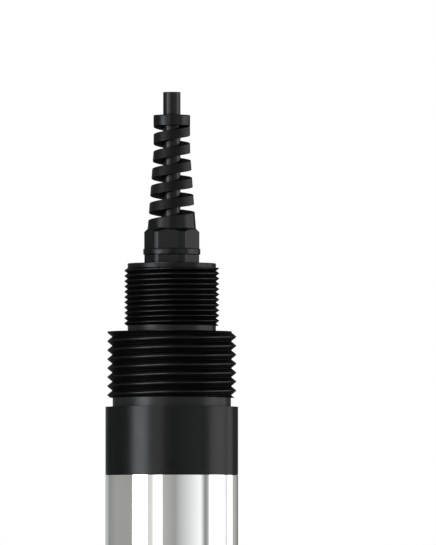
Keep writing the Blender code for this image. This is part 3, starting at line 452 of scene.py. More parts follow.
# Glass-fibre board under solder mask: satin dark green, with lighter raised tracks
BOARD = SolderMask("masked_circuit_board", "#12442a", 0.35)
# Chip packages moulded in filled epoxy: dull charcoal
EPOXY = Finish("moulded_chip_epoxy", "#1e1f21", 0.55)
# Steel cans and screws with bright tin plating: soft-edged pale reflections
TIN = Finish("tinned_steel", "#c4c4c0", 0.32, metallic=1.0)
# Grey polycarbonate, moulded: satin, a plain mid grey
CARRIER_PLASTIC = Finish("moulded_grey_polycarbonate", "#7c7d80", 0.45, ior=1.58)
# Green polyamide, moulded: satin, warm green
TERMINAL_PLASTIC = Finish("moulded_green_polyamide", "#2a8048", 0.42, ior=1.53)
# Core insulation, soft PVC drawn over the strands: satin strong colours with faint lengthwise lines
CORES = {
    f"core_{name}": ExtrudedSheath(f"extruded_{name}_pvc", shade, 0.4, line_mm=0.2)
    for name, shade in (("red", "#b0211d"), ("black", "#17171a"), ("yellow", "#d8b026"), ("blue", "#27489a"))
}


def dress(node_name: str, finish: Finish) -> None:
    """Gives a CAD node that keeps its shape its finish, and smooth round faces.

    Args:
        node_name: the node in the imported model.
        finish: what it is made of.
    """
    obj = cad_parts[node_name]
    obj.data.materials.clear()
    obj.data.materials.append(finish.material())
    obj.data.shade_smooth()
    obj.data.set_sharp_from_angle(angle=CAD_SHARP)
    LOG.info("dressed %s in %s", node_name, finish.name)


def finished(name: str, shape: bmesh.types.BMesh) -> bpy.types.Mesh:
    """Makes a mesh of a shape.

    Args:
        name: the mesh's name.
        shape: the shape, which is freed.

    Returns:
        The mesh.
    """
    mesh = bpy.data.meshes.new(name)
    shape.to_mesh(mesh)
    shape.free()
    return mesh


def put(name: str, data: bpy.types.ID) -> bpy.types.Object:
    """Puts a new object in the scene.

    Args:
        name: its name.
        data: its mesh, lamp or camera.

    Returns:
        The object.
    """
    obj = bpy.data.objects.new(name, data)
    bpy.context.scene.collection.objects.link(obj)
    return obj


def show(
    mesh: bpy.types.Mesh,
    node_name: str,
    finish: Finish,
    carrier: Carrier,
    zones: Sequence[Zone] = (),
) -> bpy.types.Object:
    """Puts a finely made piece in place of its CAD node.

    Args:
        mesh: its mesh, in the model's frame.
        node_name: the node it replaces.
        finish: what it is made of.
        carrier: the body it rides on.
        zones: other finishes on it, each with a test that says which faces have it.

    Returns:
        The new object.
    """
    obj = put(f"{node_name}_fine", mesh)
    mesh.materials.append(finish.material())
    for number, (other, holds) in enumerate(zones, 1):
        mesh.materials.append(other.material())
        for face in mesh.polygons:
            if holds(face):
                face.material_index = number
    mesh.shade_smooth()
    mesh.set_sharp_from_angle(angle=FINE_SHARP)
    weighted = obj.modifiers.new("Even shading", "WEIGHTED_NORMAL")
    weighted.keep_sharp = True
    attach(obj, carrier.value)
    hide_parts(node_name)
    LOG.info("made %s with %d faces", obj.name, len(mesh.polygons))
    return obj


def where(face: Face) -> Point:
    """A face's radius and level in millimetres."""
    return (math.hypot(face.center.x, face.center.y) / MM, face.center.z / MM)


def spot(radius: float, level: float, azimuth: float) -> Place:
    """A place in metres, from millimetres and an azimuth in radians."""
    return (radius * MM * math.cos(azimuth), radius * MM * math.sin(azimuth), level * MM)


def sleeve(inner: float, outer: float, low: float, high: float) -> list[Point]:
    """The outline of a plain ring."""
    return [(inner, low), (outer, low), (outer, high), (inner, high)]


@dataclass(frozen=True)
class Edge:
    """An eased corner: how far it goes along its flat face and up its round one, and its middle point."""

    along: float
    up: float
    middle: Point

    def points(self, radius: float, level: float, side: int = -1, way: int = 1) -> list[Point]:
        """Its points from the flat face to the round one, inwards if side is -1, down if way is -1."""
        return [
            (radius + side * self.along, level),
            (radius + side * self.middle[0], level + way * self.middle[1]),
            (radius, level + way * self.up),
        ]


def fillet(
    outline: Sequence[Point], radius: float, steps: int = 3, edge_share: float = 0.45
) -> list[Point]:
    """Rounds the corners of a closed outline where they turn by more than a little.

    Args:
        outline: corner points, in order.
        radius: the fillet's radius, cut down where an edge is short.
        steps: segments of each arc.
        edge_share: the most of an edge that an arc may use.

    Returns:
        The outline with each sharp corner replaced by an arc.
    """
    rounded: list[Point] = []
    for i, corner in enumerate(outline):
        here = Vector(corner)
        back = Vector(outline[i - 1]) - here
        ahead = Vector(outline[(i + 1) % len(outline)]) - here
        if min(back.length, ahead.length) < JOIN or back.angle(ahead) > STRAIGHT:
            rounded.append(corner)
            continue
        room = min(back.length, ahead.length) * edge_share
        reach = min(radius / math.tan(back.angle(ahead) / 2), room)
        start = here + back.normalized() * reach
        end = here + ahead.normalized() * reach
        for step in range(steps + 1):
            t = step / steps
            point = start.lerp(here, t).lerp(here.lerp(end, t), t)
            rounded.append((point.x, point.y))
    return rounded


def skin(name: str, rows: Sequence[Sequence[Place]], capped: bool = False) -> bpy.types.Mesh:
    """Joins loops of points, each to the next, into a skin.

    Args:
        name: the mesh's name.
        rows: the loops, in metres, each with as many points.
        capped: whether the first and the last loop are closed with a face.

    Returns:
        The mesh. Points that fall together are merged.
    """
    shape = bmesh.new()
    loops = [[shape.verts.new(place) for place in row] for row in rows]
    for one, two in zip(loops, loops[1:]):
        for i in range(len(one)):
            j = (i + 1) % len(one)
            shape.faces.new((one[i], two[i], two[j], one[j]))
    if capped:
        shape.faces.new(loops[0])
        shape.faces.new(reversed(loops[-1]))
    bmesh.ops.remove_doubles(shape, verts=shape.verts, dist=JOIN * MM)
    bmesh.ops.dissolve_degenerate(shape, edges=shape.edges, dist=JOIN * MM)
    bmesh.ops.recalc_face_normals(shape, faces=shape.faces)
    return finished(name, shape)


def columns_mesh(name: str, column: Column, segments: int = FINE, start: float = 0.0) -> bpy.types.Mesh:
    """Turns a closed outline about Z where the outline may change with the angle.

    Args:
        name: the mesh's name.
        column: gives the outline at an angle from the first column, always with as many points.
        segments: steps of a turn.
        start: azimuth of the first column, in radians.

    Returns:
        The mesh.
    """
    turns = [math.tau * step / segments for step in range(segments + 1)]
    rows = [[spot(radius, level, start + turn) for radius, level in column(turn)] for turn in turns]
    return skin(name, rows)


def turned_mesh(name: str, outline: Sequence[Point], edge: float, segments: int = FINE) -> bpy.types.Mesh:
    """Turns one closed outline about Z with its corners rounded to the edge's radius."""
    fine = fillet(outline, edge)
    return columns_mesh(name, lambda turn: fine, segments)


@dataclass(frozen=True)
class Spigot:
    """The end of a housing that goes into the tube, with an O-ring groove at each level in grooves."""

    grooves: tuple[float, ...]
    groove_width: float = 2.3
    groove_floor: float = 14.7
    radius: float = 16.75
    length: float = 15.0
    chamfer: float = 0.6

    def side(self) -> list[Point]:
        """The spigot's side with its grooves.

        Returns:
            Points from the lowest groove to the highest.
        """
        points: list[Point] = []
        for level in self.grooves:
            low, high = level - self.groove_width / 2, level + self.groove_width / 2
            points += [(self.radius, low), (self.groove_floor, low)]
            points += [(self.groove_floor, high), (self.radius, high)]
        return points


@dataclass(frozen=True)
class Thread:
    """A right-handed V thread, cut off level at both ends.

    Attributes:
        root: diameter at the bottom of the V.
        crest: diameter over the teeth.
        pitch: rise of one turn.
        bottom: level where it starts.
        top: level where it is cut off.
        crest_level: a level at which a crest passes the +X side.
        flat: width of the crest.
        crest_band: how far below the crest the flanks' darker finish, with its painted groove shade, starts.
    """

    root: float
    crest: float
    pitch: float
    bottom: float
    top: float
    crest_level: float
    flat: float
    crest_band: float = 0.04

    def tooth(self) -> list[Point]:
        """One tooth, root to root, with eased feet and a rounded crest.

        Returns:
            Points (height from the crest, radius).
        """
        half, low, high = self.pitch / 2, self.root / 2, self.crest / 2
        slope = (high - low) / (half - self.flat / 2)
        foot, ease = half * 0.07, self.flat * 0.55
        rise = [
            (-half, low),
            (foot - half, low + slope * foot * 0.43),
            (-self.flat / 2 - ease, high - slope * ease),
            (-self.flat / 2 - ease * 0.3, high - slope * ease * 0.2),
            (-self.flat / 4, high),
        ]
        return rise + [(-height, radius) for height, radius in reversed(rise)]

    def radius_at(self, height: float) -> float:
        """The thread's radius at a height from some crest.

        Args:
            height: millimetres up or down from the crest.

        Returns:
            The radius in millimetres.
        """
        height = (height + self.pitch / 2) % self.pitch - self.pitch / 2
        points = self.tooth()
        for (z0, r0), (z1, r1) in zip(points, points[1:]):
            if z0 <= height <= z1:
                return r0 + (r1 - r0) * (height - z0) / max(z1 - z0, JOIN)
        return self.root / 2

    def is_flank(self, face: Face) -> bool:
        """Whether a face lies on this thread, off its crests, where the groove shade is painted.

        Args:
            face: a face of the piece that has the thread.

        Returns:
            True on a flank and in a root.
        """
        radius, level = where(face)
        below_crest = self.root / 2 - 2 * SLACK < radius < self.crest / 2 - self.crest_band
        return below_crest and self.bottom - SLACK < level < self.top + SLACK

    def outline(self, azimuth: float) -> list[Point]:
        """The thread's outline on one side.

        Args:
            azimuth: of that side, in radians. The teeth climb with it.

        Returns:
            Points from bottom to top, as many at each azimuth.
        """
        lift = self.pitch * azimuth / math.tau
        first = math.floor((self.bottom - self.crest_level) / self.pitch) - 1
        last = math.ceil((self.top - self.crest_level) / self.pitch) + 1
        points = []
        for turn in range(first, last + 1):
            crest = self.crest_level + lift + turn * self.pitch
            for height, radius in self.tooth():
                level = crest + height
                kept = min(max(level, self.bottom), self.top)
                if kept != level:
                    radius = self.radius_at(kept - crest)
                points.append((radius, kept))
        return points


@dataclass
class Head:
    """The turned black head: collar, large pipe thread, small pipe thread and spigot.

    The collar reaches from foot to shoulder, and the step is the ledge between the threads. The bore is
    given from the top down: spot face, O-ring seat, hole for the gland, hollow for the wires, a cone to
    the spigot's bore, and the wider bay that takes the board carrier.
    """

    foot: float = 121.0
    foot_edge: Edge = Edge(0.1, 0.09, middle=(0.03, 0.02))
    shoulder: float = 140.0
    shoulder_edge: Edge = Edge(0.05, 0.05, middle=(0.015, 0.015))
    step: float = 161.0
    step_fillet: float = 0.2
    top: float = 180.0
    top_edge: Edge = Edge(0.2, 0.2, middle=(0.06, 0.06))
    collar: float = 18.5
    neck: float = 16.5
    neck_fillet: Edge = Edge(0.06, 0.06, middle=(0.02, 0.02))
    large: Thread = Thread(
        root=33.3, crest=35.9, pitch=2.5, bottom=142.55, top=161.0, crest_level=159.53, flat=0.25
    )
    small: Thread = Thread(
        root=24.75, crest=26.44, pitch=1.47, bottom=162.65, top=178.72, crest_level=177.22, flat=0.15
    )
    undercut: float = 0.05
    spigot: Spigot = Spigot(grooves=(111.5, 116.5))
    bore: tuple[Point, ...] = (
        *((7.95, 180.0), (7.95, 179.7), (7.25, 179.7), (7.25, 178.3), (6.0, 178.3), (6.0, 171.8)),
        *((8.775, 171.8), (8.775, 140.0), (10.8, 136.375), (10.8, 110.3), (12.4, 110.3), (12.4, 106.0)),
    )

    @property
    def small_neck(self) -> float:
        """Radius of the plain stretches at both ends of the small thread."""
        return self.small.root / 2 - self.undercut

    def column(self, azimuth: float) -> list[Point]:
        """The head's outline on one side.

        Args:
            azimuth: of that side, in radians.

        Returns:
            Points up the outside from the spigot's end, then down the bore.
        """
        spigot, small_neck = self.spigot, self.small_neck
        low = self.foot - spigot.length
        return [
            (spigot.radius - spigot.chamfer, low),
            (spigot.radius, low + spigot.chamfer),
            *spigot.side(),
            (spigot.radius, self.foot),
            *self.foot_edge.points(self.collar, self.foot),
            *reversed(self.shoulder_edge.points(self.collar, self.shoulder, way=-1)),
            *self.neck_fillet.points(self.neck, self.shoulder, side=1),
            (self.neck, self.large.bottom),
            *self.large.outline(azimuth),
            (small_neck + self.step_fillet, self.step),
            (small_neck, self.step + self.step_fillet),
            (small_neck, self.small.bottom),
            *self.small.outline(azimuth),
            (small_neck, self.small.top),
            *reversed(self.top_edge.points(small_neck, self.top, way=-1)),
            *self.bore,
        ]

    def in_neck_sheen(self, face: Face) -> bool:
        """Whether a face lies on one of the two necks between a ledge and a thread's first turn, where a
        sheen is painted.

        Args:
            face: a face of the head.

        Returns:
            True on a neck's side.
        """
        radius, level = where(face)
        ledges = ((self.shoulder, self.large), (self.step, self.small))
        in_neck = any(ledge + 0.03 < level < thread.bottom - 0.01 for ledge, thread in ledges)
        return in_neck and radius > self.small_neck - 0.3

    def build(self) -> bpy.types.Object:
        """Makes the head in place of its node.

        Returns:
            The head.
        """
        # The thread flanks get painted shade in the grooves, and the necks get a painted sheen
        zones = [(CUT_SHADE_ACETAL, self.large.is_flank), (CUT_SHADE_ACETAL, self.small.is_flank)]
        zones.append((NECK_SHEEN_ACETAL, self.in_neck_sheen))
        mesh = columns_mesh("head", self.column)
        return show(mesh, "head_housing", ACETAL, Carrier.SENSOR, zones)


@dataclass(frozen=True)
class Hexagon:
    """A hexagon from round stock, so that its corners are short arcs. One lies at the azimuth turn."""

    flats: float
    corners: float
    turn: float = math.radians(54.1)

    def radius(self, angle: float) -> float:
        """Its radius at an angle from one corner."""
        off_face = angle % (math.tau / 6) - math.tau / 12
        return min(self.flats / 2 / math.cos(off_face), self.corners / 2)


@dataclass
class GlandBody:
    """The gland's fixed body: stem, hexagon, thread and the claws round the seal."""

    stem_radius: float = 5.7
    stem_bottom: float = 171.8
    hexagon: Hexagon = Hexagon(flats=14.0, corners=15.3)
    hexagon_bottom: float = 180.0
    lower_edge: float = 0.03
    hexagon_top: float = 182.4
    upper_edge: float = 0.04
    neck_radius: float = 5.1
    thread: Thread = Thread(
        root=10.3, crest=11.6, pitch=1.5, bottom=182.8, top=187.8, crest_level=183.9, flat=0.15
    )
    claws: int = 6
    claw_foot: float = 187.9
    claw_top: float = 191.0
    claw_radius: float = 3.9
    claw_gap: float = math.radians(10.3)
    seal_radius: float = 3.6
    seal_seat: float = 181.2
    cable_bore: float = 2.725

    def column(self, angle: float) -> list[Point]:
        """The body's outline on one side.

        Args:
            angle: of that side from one corner of the hexagon, in radians.

        Returns:
            Points up the outside from the stem's end, then down the bore.
        """
        side = self.hexagon.radius(angle)
        azimuth = angle + self.hexagon.turn
        apart = math.tau / self.claws
        off_gap = abs((azimuth + apart / 2) % apart - apart / 2)
        claw_top = self.claw_foot if off_gap < self.claw_gap / 2 else self.claw_top
        return [
            (self.stem_radius, self.stem_bottom),
            (self.stem_radius, self.hexagon_bottom),
            (side - self.lower_edge, self.hexagon_bottom),
            (side, self.hexagon_bottom + self.lower_edge),
            (side, self.hexagon_top - self.upper_edge),
            (side - self.upper_edge, self.hexagon_top),
            (self.neck_radius, self.hexagon_top),
            (self.neck_radius, self.thread.bottom),
            *self.thread.outline(azimuth),
            (self.neck_radius, self.thread.top),
            (self.neck_radius, self.claw_foot),
            (self.claw_radius, claw_top),
            (self.seal_radius, claw_top),
            (self.seal_radius, self.seal_seat),
            (self.cable_bore, self.seal_seat),
            (self.cable_bore, self.stem_bottom),
        ]

    def build(self) -> None:
        """Makes the body, and dresses its seal and its O-ring."""
        mesh = columns_mesh("gland_body", self.column, segments=180, start=self.hexagon.turn)
        # The thread's flanks get the painted groove shade
        zones = [(CUT_SHADE_ACETAL, self.thread.is_flank)]
        show(mesh, "gland_body", NYLON, Carrier.SENSOR, zones)
        for name in ("gland_seal", "gland_o_ring"):
            dress(name, RUBBER)


@dataclass
class GlandNut:
    """The nut with its spiral bend protector in one piece, and the captive ring under it.

    The bend protector tapers and then goes on straight. One slot winds round it and leaves a closed base
    below, bands between and a closed ring at its end. The highest slot passes the left side
    left_slot_drop below the top. The bands' ends are sunk into base and end ring, and the bands keep the
    distance inlay from their bore and their outline, so that no faces coincide. For the same reason the
    base covers the lowest band by lap. Between bore_top and cone_top the nut's bore closes on the claws.
    """

    bottom: float = 184.1
    height: float = 4.7
    chamfer: float = 0.8
    lower_edge: Edge = Edge(0.04, 0.04, middle=(0.01, 0.01))
    hexagon: Hexagon = Hexagon(flats=14.1, corners=15.4)
    thread_bore: float = 6.1
    bore_top: float = 187.8
    cone_top: float = 191.3
    cone_radius: float = 4.9
    cable_bore: float = 2.725
    base_radius: float = 6.75
    base: float = 2.2
    taper: float = 22.0
    straight: float = 9.8
    pitch: float = 4.8
    slot: float = 2.03
    left_slot_drop: float = 4.4
    band_edge: float = 0.16
    sunk: float = 0.25
    inlay: float = 0.02
    lap: float = 0.01
    end_radius: float = 5.12
    end_ring: float = 3.0
    end_edge: float = 0.3
    ring_radius: float = 7.975
    ring_bottom: float = 182.42
    ring_top: float = 184.08
    ring_edge: float = 0.22

    @property
    def spiral_bottom(self) -> float:
        """Level where the bend protector leaves the nut."""
        return self.bottom + self.height + self.chamfer

    @property
    def spiral_top(self) -> float:
        """Level of the bend protector's upper end."""
        return self.spiral_bottom + self.taper + self.straight

    def outer(self, level: float) -> float:
        """The bend protector's outer radius at a level."""
        share = min(max((level - self.spiral_bottom) / self.taper, 0.0), 1.0)
        return self.base_radius + (self.end_radius - self.base_radius) * share

    def base_top(self, azimuth: float) -> float:
        """Where the closed base ends on one side: it climbs with the lowest slot's lower wall.

        Args:
            azimuth: of that side, in radians.

        Returns:
            The level in millimetres.
        """
        low = self.spiral_bottom + self.base
        wall = self.spiral_top - self.left_slot_drop - (self.pitch + self.slot) / 2
        climb = (wall + self.pitch * azimuth / math.tau - low) % self.pitch
        return low + climb + self.lap if climb < self.pitch - self.slot else low

    def column(self, angle: float) -> list[Point]:
        """The outline of nut and base on one side.

        Args:
            angle: of that side from one corner of the hexagon, in radians.

        Returns:
            Points up the outside from the nut's lower edge, then down the bore.
        """
        side, foot, radius = self.hexagon.radius(angle), self.spiral_bottom, self.base_radius
        fall = self.hexagon.corners / 2 - radius - 0.05
        cut = self.bottom + self.height + (self.hexagon.corners / 2 - side) / fall * self.chamfer
        top = self.base_top(angle + self.hexagon.turn)
        outer = self.outer(top)
        # The bare numbers, all under half a millimetre, ease the edges of chamfer, base and slot
        return [
            (self.thread_bore, self.bottom),
            *self.lower_edge.points(side, self.bottom),
            *((side, cut - 0.1), (side - 0.03, cut - 0.03), (side - 0.1, cut + 0.06)),
            *((radius + 0.3, foot - 0.22), (radius + 0.08, foot - 0.02)),
            *((radius, foot + 0.22), (radius - 0.02, foot + 0.4)),
            *((outer + 0.03, top - 0.4), (outer + 0.01, top - 0.16)),
            *((outer - 0.05, top - 0.04), (outer - 0.2, top)),
            (self.cable_bore, top),
            (self.cable_bore, self.cone_top),
            (self.cone_radius, self.cone_top),
            (self.thread_bore, self.bore_top),
        ]

    def band(self) -> bpy.types.Mesh:
        """The spiral band with rounded outer edges.

        Its section is given as points (inset from the outline, height), with no inset at the bore.

        Returns:
            The band, closed at both ends.
        """
        half, edge = (self.pitch - self.slot) / 2, self.band_edge
        low = self.spiral_bottom + self.base - self.sunk
        high = self.spiral_top - self.end_ring + self.sunk
        turns = (0.0, 0.4, 0.8, 1.2, math.pi / 2)
        corner = [(edge * (1 - math.sin(turn)), edge * (1 - math.cos(turn))) for turn in turns]
        section = [(None, -half)] + [(inset, lift - half) for inset, lift in corner]
        section += [(inset, -lift) for inset, lift in reversed(section)]
        middle = self.spiral_top - self.left_slot_drop - self.pitch / 2
        first = math.ceil((low - half + edge - middle) / self.pitch * FINE)
        last = math.floor((high + half - edge - middle) / self.pitch * FINE)
        rows = []
        for step in range(first, last + 1):
            row = []
            for inset, lift in section:
                level = min(max(middle + self.pitch * step / FINE + lift, low), high)
                radius = self.cable_bore + self.inlay
                if inset is not None:
                    radius = self.outer(level) - self.inlay - inset
                row.append(spot(radius, level, math.pi + math.tau * step / FINE))
            rows.append(row)
        return skin("spiral_band", rows, capped=True)

    def on_band(self, face: Face) -> bool:
        """Whether a face lies on the spiral bands, between the closed base and the end ring."""
        base_top = self.base_top(math.atan2(face.center.y, face.center.x))
        return base_top < where(face)[1] < self.spiral_top - self.end_ring

    def in_slot_shade(self, face: Face) -> bool:
        """Whether a face is a wall of the slot between the bands, or the bore behind it: the faces with the
        painted slot shade.

        Args:
            face: a face of the nut.

        Returns:
            True inside the slot.
        """
        radius, level = where(face)
        on_spiral = self.spiral_bottom + self.base - 0.2 < level < self.spiral_top - 0.5
        in_bore = radius < self.cable_bore + 0.1
        on_wall = abs(face.normal.z) > 0.6
        return on_spiral and (in_bore or on_wall)

    def build(self) -> None:
        """Makes the nut with its bend protector, and the captive ring."""
        end_ring = sleeve(self.cable_bore, self.end_radius, self.spiral_top - self.end_ring, self.spiral_top)
        whole = bmesh.new()
        whole.from_mesh(columns_mesh("nut", self.column, segments=180, start=self.hexagon.turn))
        whole.from_mesh(self.band())
        whole.from_mesh(turned_mesh("spiral_end_ring", end_ring, self.end_edge))
        # The bands get their duller finish, and the slots get the painted shade between the bands
        zones = [(SPIRAL_NYLON, self.on_band), (SLOT_SHADE_NYLON, self.in_slot_shade)]
        show(finished("gland_nut", whole), "gland_nut", NYLON, Carrier.NUT, zones)
        outline = sleeve(self.thread_bore, self.ring_radius, self.ring_bottom, self.ring_top)
        ring = turned_mesh("captive_ring", outline, self.ring_edge)
        show(ring, "gland_nut_ring", NYLON, Carrier.NUT_RING)


@dataclass
class Cable:
    """The cable's stub: sheath and four cores."""

    radius: float = 2.425
    wall: float = 0.7
    bottom: float = 167.5
    top: float = 227.8
    edge: float = 0.08

    def build(self) -> None:
        """Makes the sheath with a cleanly cut end and dresses the cores."""
        outline = sleeve(self.radius - self.wall, self.radius, self.bottom, self.top)
        mesh = turned_mesh("sheath", outline, self.edge, segments=64)
        show(mesh, "cable_jacket", SHEATH, Carrier.SENSOR)
        for name, finish in CORES.items():
            dress(name, finish)


@dataclass
class Tube:
    """The polished body tube."""

    radius: float = 18.5
    wall: float = 1.5
    edge: float = 0.08

    def build(self) -> None:
        """Makes the tube between the levels of its node."""
        low, high = (corner.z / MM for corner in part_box("body_tube"))
        outline = sleeve(self.radius - self.wall, self.radius, low, high)
        mesh = turned_mesh("tube", outline, self.edge, segments=256)
        show(mesh, "body_tube", STEEL, Carrier.SENSOR)


@dataclass
class Nose:
    """The nose housing: a collar between tube and cap, a spigot each way and the cap's thread.

    The cap's O-ring seals on the lower spigot. The window rests on the lip at the level seat, and the
    boards stand in the bay above it.
    """

    collar: float = 18.5
    shoulder: float = 26.05
    shoulder_edge: Edge = Edge(0.25, 0.25, middle=(0.07, 0.07))
    collar_top: float = 35.8
    top_edge: Edge = Edge(0.22, 0.22, middle=(0.07, 0.06))
    spigot: Spigot = Spigot(grooves=(40.3, 45.3))
    lower_spigot: float = 14.65
    lower_chamfer: float = 0.1
    thread: Thread = Thread(
        root=27.5, crest=29.3, pitch=2.0, bottom=6.4, top=16.4, crest_level=6.4, flat=0.2
    )
    undercut: float = 0.05
    run_out: float = 0.9
    end: float = 5.0
    end_chamfer: float = 0.6
    seat: float = 6.5
    seat_radius: float = 6.0
    bore: float = 9.0
    bay: float = 12.4
    bay_floor: float = 24.6

    def column(self, azimuth: float) -> list[Point]:
        """The nose's outline on one side.

        Args:
            azimuth: of that side, in radians.

        Returns:
            Points from the window's seat round the lower end, up the outside and down the inside.
        """
        spigot, core = self.spigot, self.thread.root / 2 - self.undercut
        core_top = self.thread.top + self.run_out
        top = self.collar_top + spigot.length
        return [
            (self.bore, self.seat),
            (self.seat_radius, self.seat),
            (self.seat_radius, self.end),
            (core - self.end_chamfer, self.end),
            (core, self.end + self.end_chamfer),
            (core, self.thread.bottom),
            *self.thread.outline(azimuth),
            (core, self.thread.top),
            (core, core_top),
            (self.lower_spigot - self.lower_chamfer, core_top),
            (self.lower_spigot, core_top + self.lower_chamfer),
            (self.lower_spigot, self.shoulder),
            *self.shoulder_edge.points(self.collar, self.shoulder),
            *reversed(self.top_edge.points(self.collar, self.collar_top, way=-1)),
            (spigot.radius, self.collar_top),
            *spigot.side(),
            (spigot.radius, top - spigot.chamfer),
            (spigot.radius - spigot.chamfer, top),
            (self.bay, top),
            (self.bay, self.bay_floor),
            (self.bore, self.bay_floor),
        ]

    def build(self) -> None:
        """Makes the nose in place of its node."""
        show(columns_mesh("nose", self.column), "nose_housing", ACETAL, Carrier.SENSOR)


@dataclass
class SensingCap:
    """The screw-on cap with the sensing disc in its floor."""

    radius: float = 18.5
    length: float = 25.8
    edge: float = 0.3
    rim_edge: float = 1.2
    rim_width: float = 5.2
    recess: float = 1.2
    lip_radius: float = 7.5
    lip: float = 2.0
    disc_radius: float = 8.95
    floor: float = 4.2
    bore: float = 14.9
    groove: float = 16.95
    groove_low: float = 20.65
    groove_high: float = 22.95

    def build(self) -> None:
        """Makes the cap, and dresses its O-ring and the disc."""
        rim_inner = self.radius - self.rim_edge - self.rim_width
        outline = [
            (self.radius, self.length),
            (self.radius, self.rim_edge),
            (self.radius - self.rim_edge, 0.0),
            (rim_inner, 0.0),
            (rim_inner - self.recess, self.recess),
            (self.lip_radius, self.recess),
            (self.lip_radius, self.lip),
            (self.disc_radius, self.lip),
            (self.disc_radius, self.floor),
            (self.bore, self.floor),
            (self.bore, self.groove_low),
            (self.groove, self.groove_low),
            (self.groove, self.groove_high),
            (self.bore, self.groove_high),
            (self.bore, self.length),
        ]
        mesh = turned_mesh("cap", outline, self.edge)
        show(mesh, "sensing_cap", ACETAL, Carrier.CAP)
        dress("cap_o_ring", RUBBER)
        dress("sensing_foil", COATING)


@dataclass
class Inside:
    """The sealed pieces in tube and nose, which keep their CAD shapes: each finish with its pieces."""

    finishes: tuple[tuple[Finish, tuple[str, ...]], ...] = (
        (RUBBER, ("head_o_ring_1", "head_o_ring_2", "nose_o_ring_1", "nose_o_ring_2", "window_o_ring")),
        (GLASS, ("optical_window",)),
        (ACETAL, ("optical_block",)),
        (BOARD, ("optics_board", "main_board")),
        (BLUE_EPOXY, ("excitation_led",)),
        (RED_EPOXY, ("reference_led",)),
        (FILTER, ("emission_filter",)),
        (TIN, ("photodiode", "thermistor", "board_screw_1", "board_screw_2", "supply_capacitor")),
        (CARRIER_PLASTIC, ("board_carrier",)),
        (EPOXY, ("board_header", "microcontroller", "bus_transceiver")),
        (TERMINAL_PLASTIC, ("terminal_block",)),
    )

    def build(self) -> None:
        """Dresses each of them."""
        for finish, names in self.finishes:
            for name in names:
                dress(name, finish)


@dataclass(frozen=True)
class Panel:
    """A strip of the light tent's cloth. It shades softly into the next one.

    It reaches from the azimuth start to the azimuth end, in degrees, with the brightness left at the one
    and right at the other, and goes dark at the height top.
    """

    start: float
    end: float
    left: float
    right: float
    tint: Tint
    top: float = 1.0


@dataclass(frozen=True)
class Lamp:
    """A soft rectangular lamp that points at the sensor's middle. Its angles are in degrees."""

    name: str
    azimuth: float
    elevation: float
    distance: float
    size: tuple[float, float]
    watts: float
    middle: float = 0.15

    def build(self) -> bpy.types.Object:
        """Hangs the lamp.

        Returns:
            The lamp. It lights matt surfaces and is unseen in glossy ones.
        """
        light = bpy.data.lights.new(self.name, "AREA")
        light.shape = "RECTANGLE"
        light.size, light.size_y = self.size
        light.energy = self.watts
        turn, rise = math.radians(self.azimuth), math.radians(self.elevation)
        away = Vector((math.sin(turn) * math.cos(rise), -math.cos(turn) * math.cos(rise), math.sin(rise)))
        obj = put(self.name, light)
        obj.location = Vector((0, 0, self.middle)) + away * self.distance
        obj.rotation_mode = "QUATERNION"
        obj.rotation_quaternion = away.to_track_quat("Z", "Y")
        obj.visible_camera = obj.visible_glossy = False
        return obj


@dataclass(frozen=True)
class PhotoView:
    """The photo's view: far away, a little below the head, the sensor left of the middle.

    The photo is width by height pixels and has the sensor's axis at the column axis. It shows a stretch
    of the length seen, from a camera at the height level that looks at the height aim.
    """

    width: int = 436
    height: int = 545
    axis: float = 171.8
    seen: float = 0.15198
    distance: float = 4.0
    level: float = 0.073
    aim: float = 0.17746
    film_mm: float = 36.0

    def build(self) -> None:
        """Puts up the camera and makes it the scene's."""
        pitch = math.atan2(self.aim - self.level, self.distance)
        data = bpy.data.cameras.new("camera")
        data.sensor_width = self.film_mm
        data.lens = self.film_mm * self.distance / math.cos(pitch) / self.seen
        data.clip_start, data.clip_end = 0.01, 20.0
        obj = put("camera", data)
        off_axis = (self.width / 2 - self.axis) / self.height * self.seen
        obj.location = (off_axis, -self.distance, self.level)
        obj.rotation_euler = (math.pi / 2 + pitch, 0.0, 0.0)
        bpy.context.scene.camera = obj


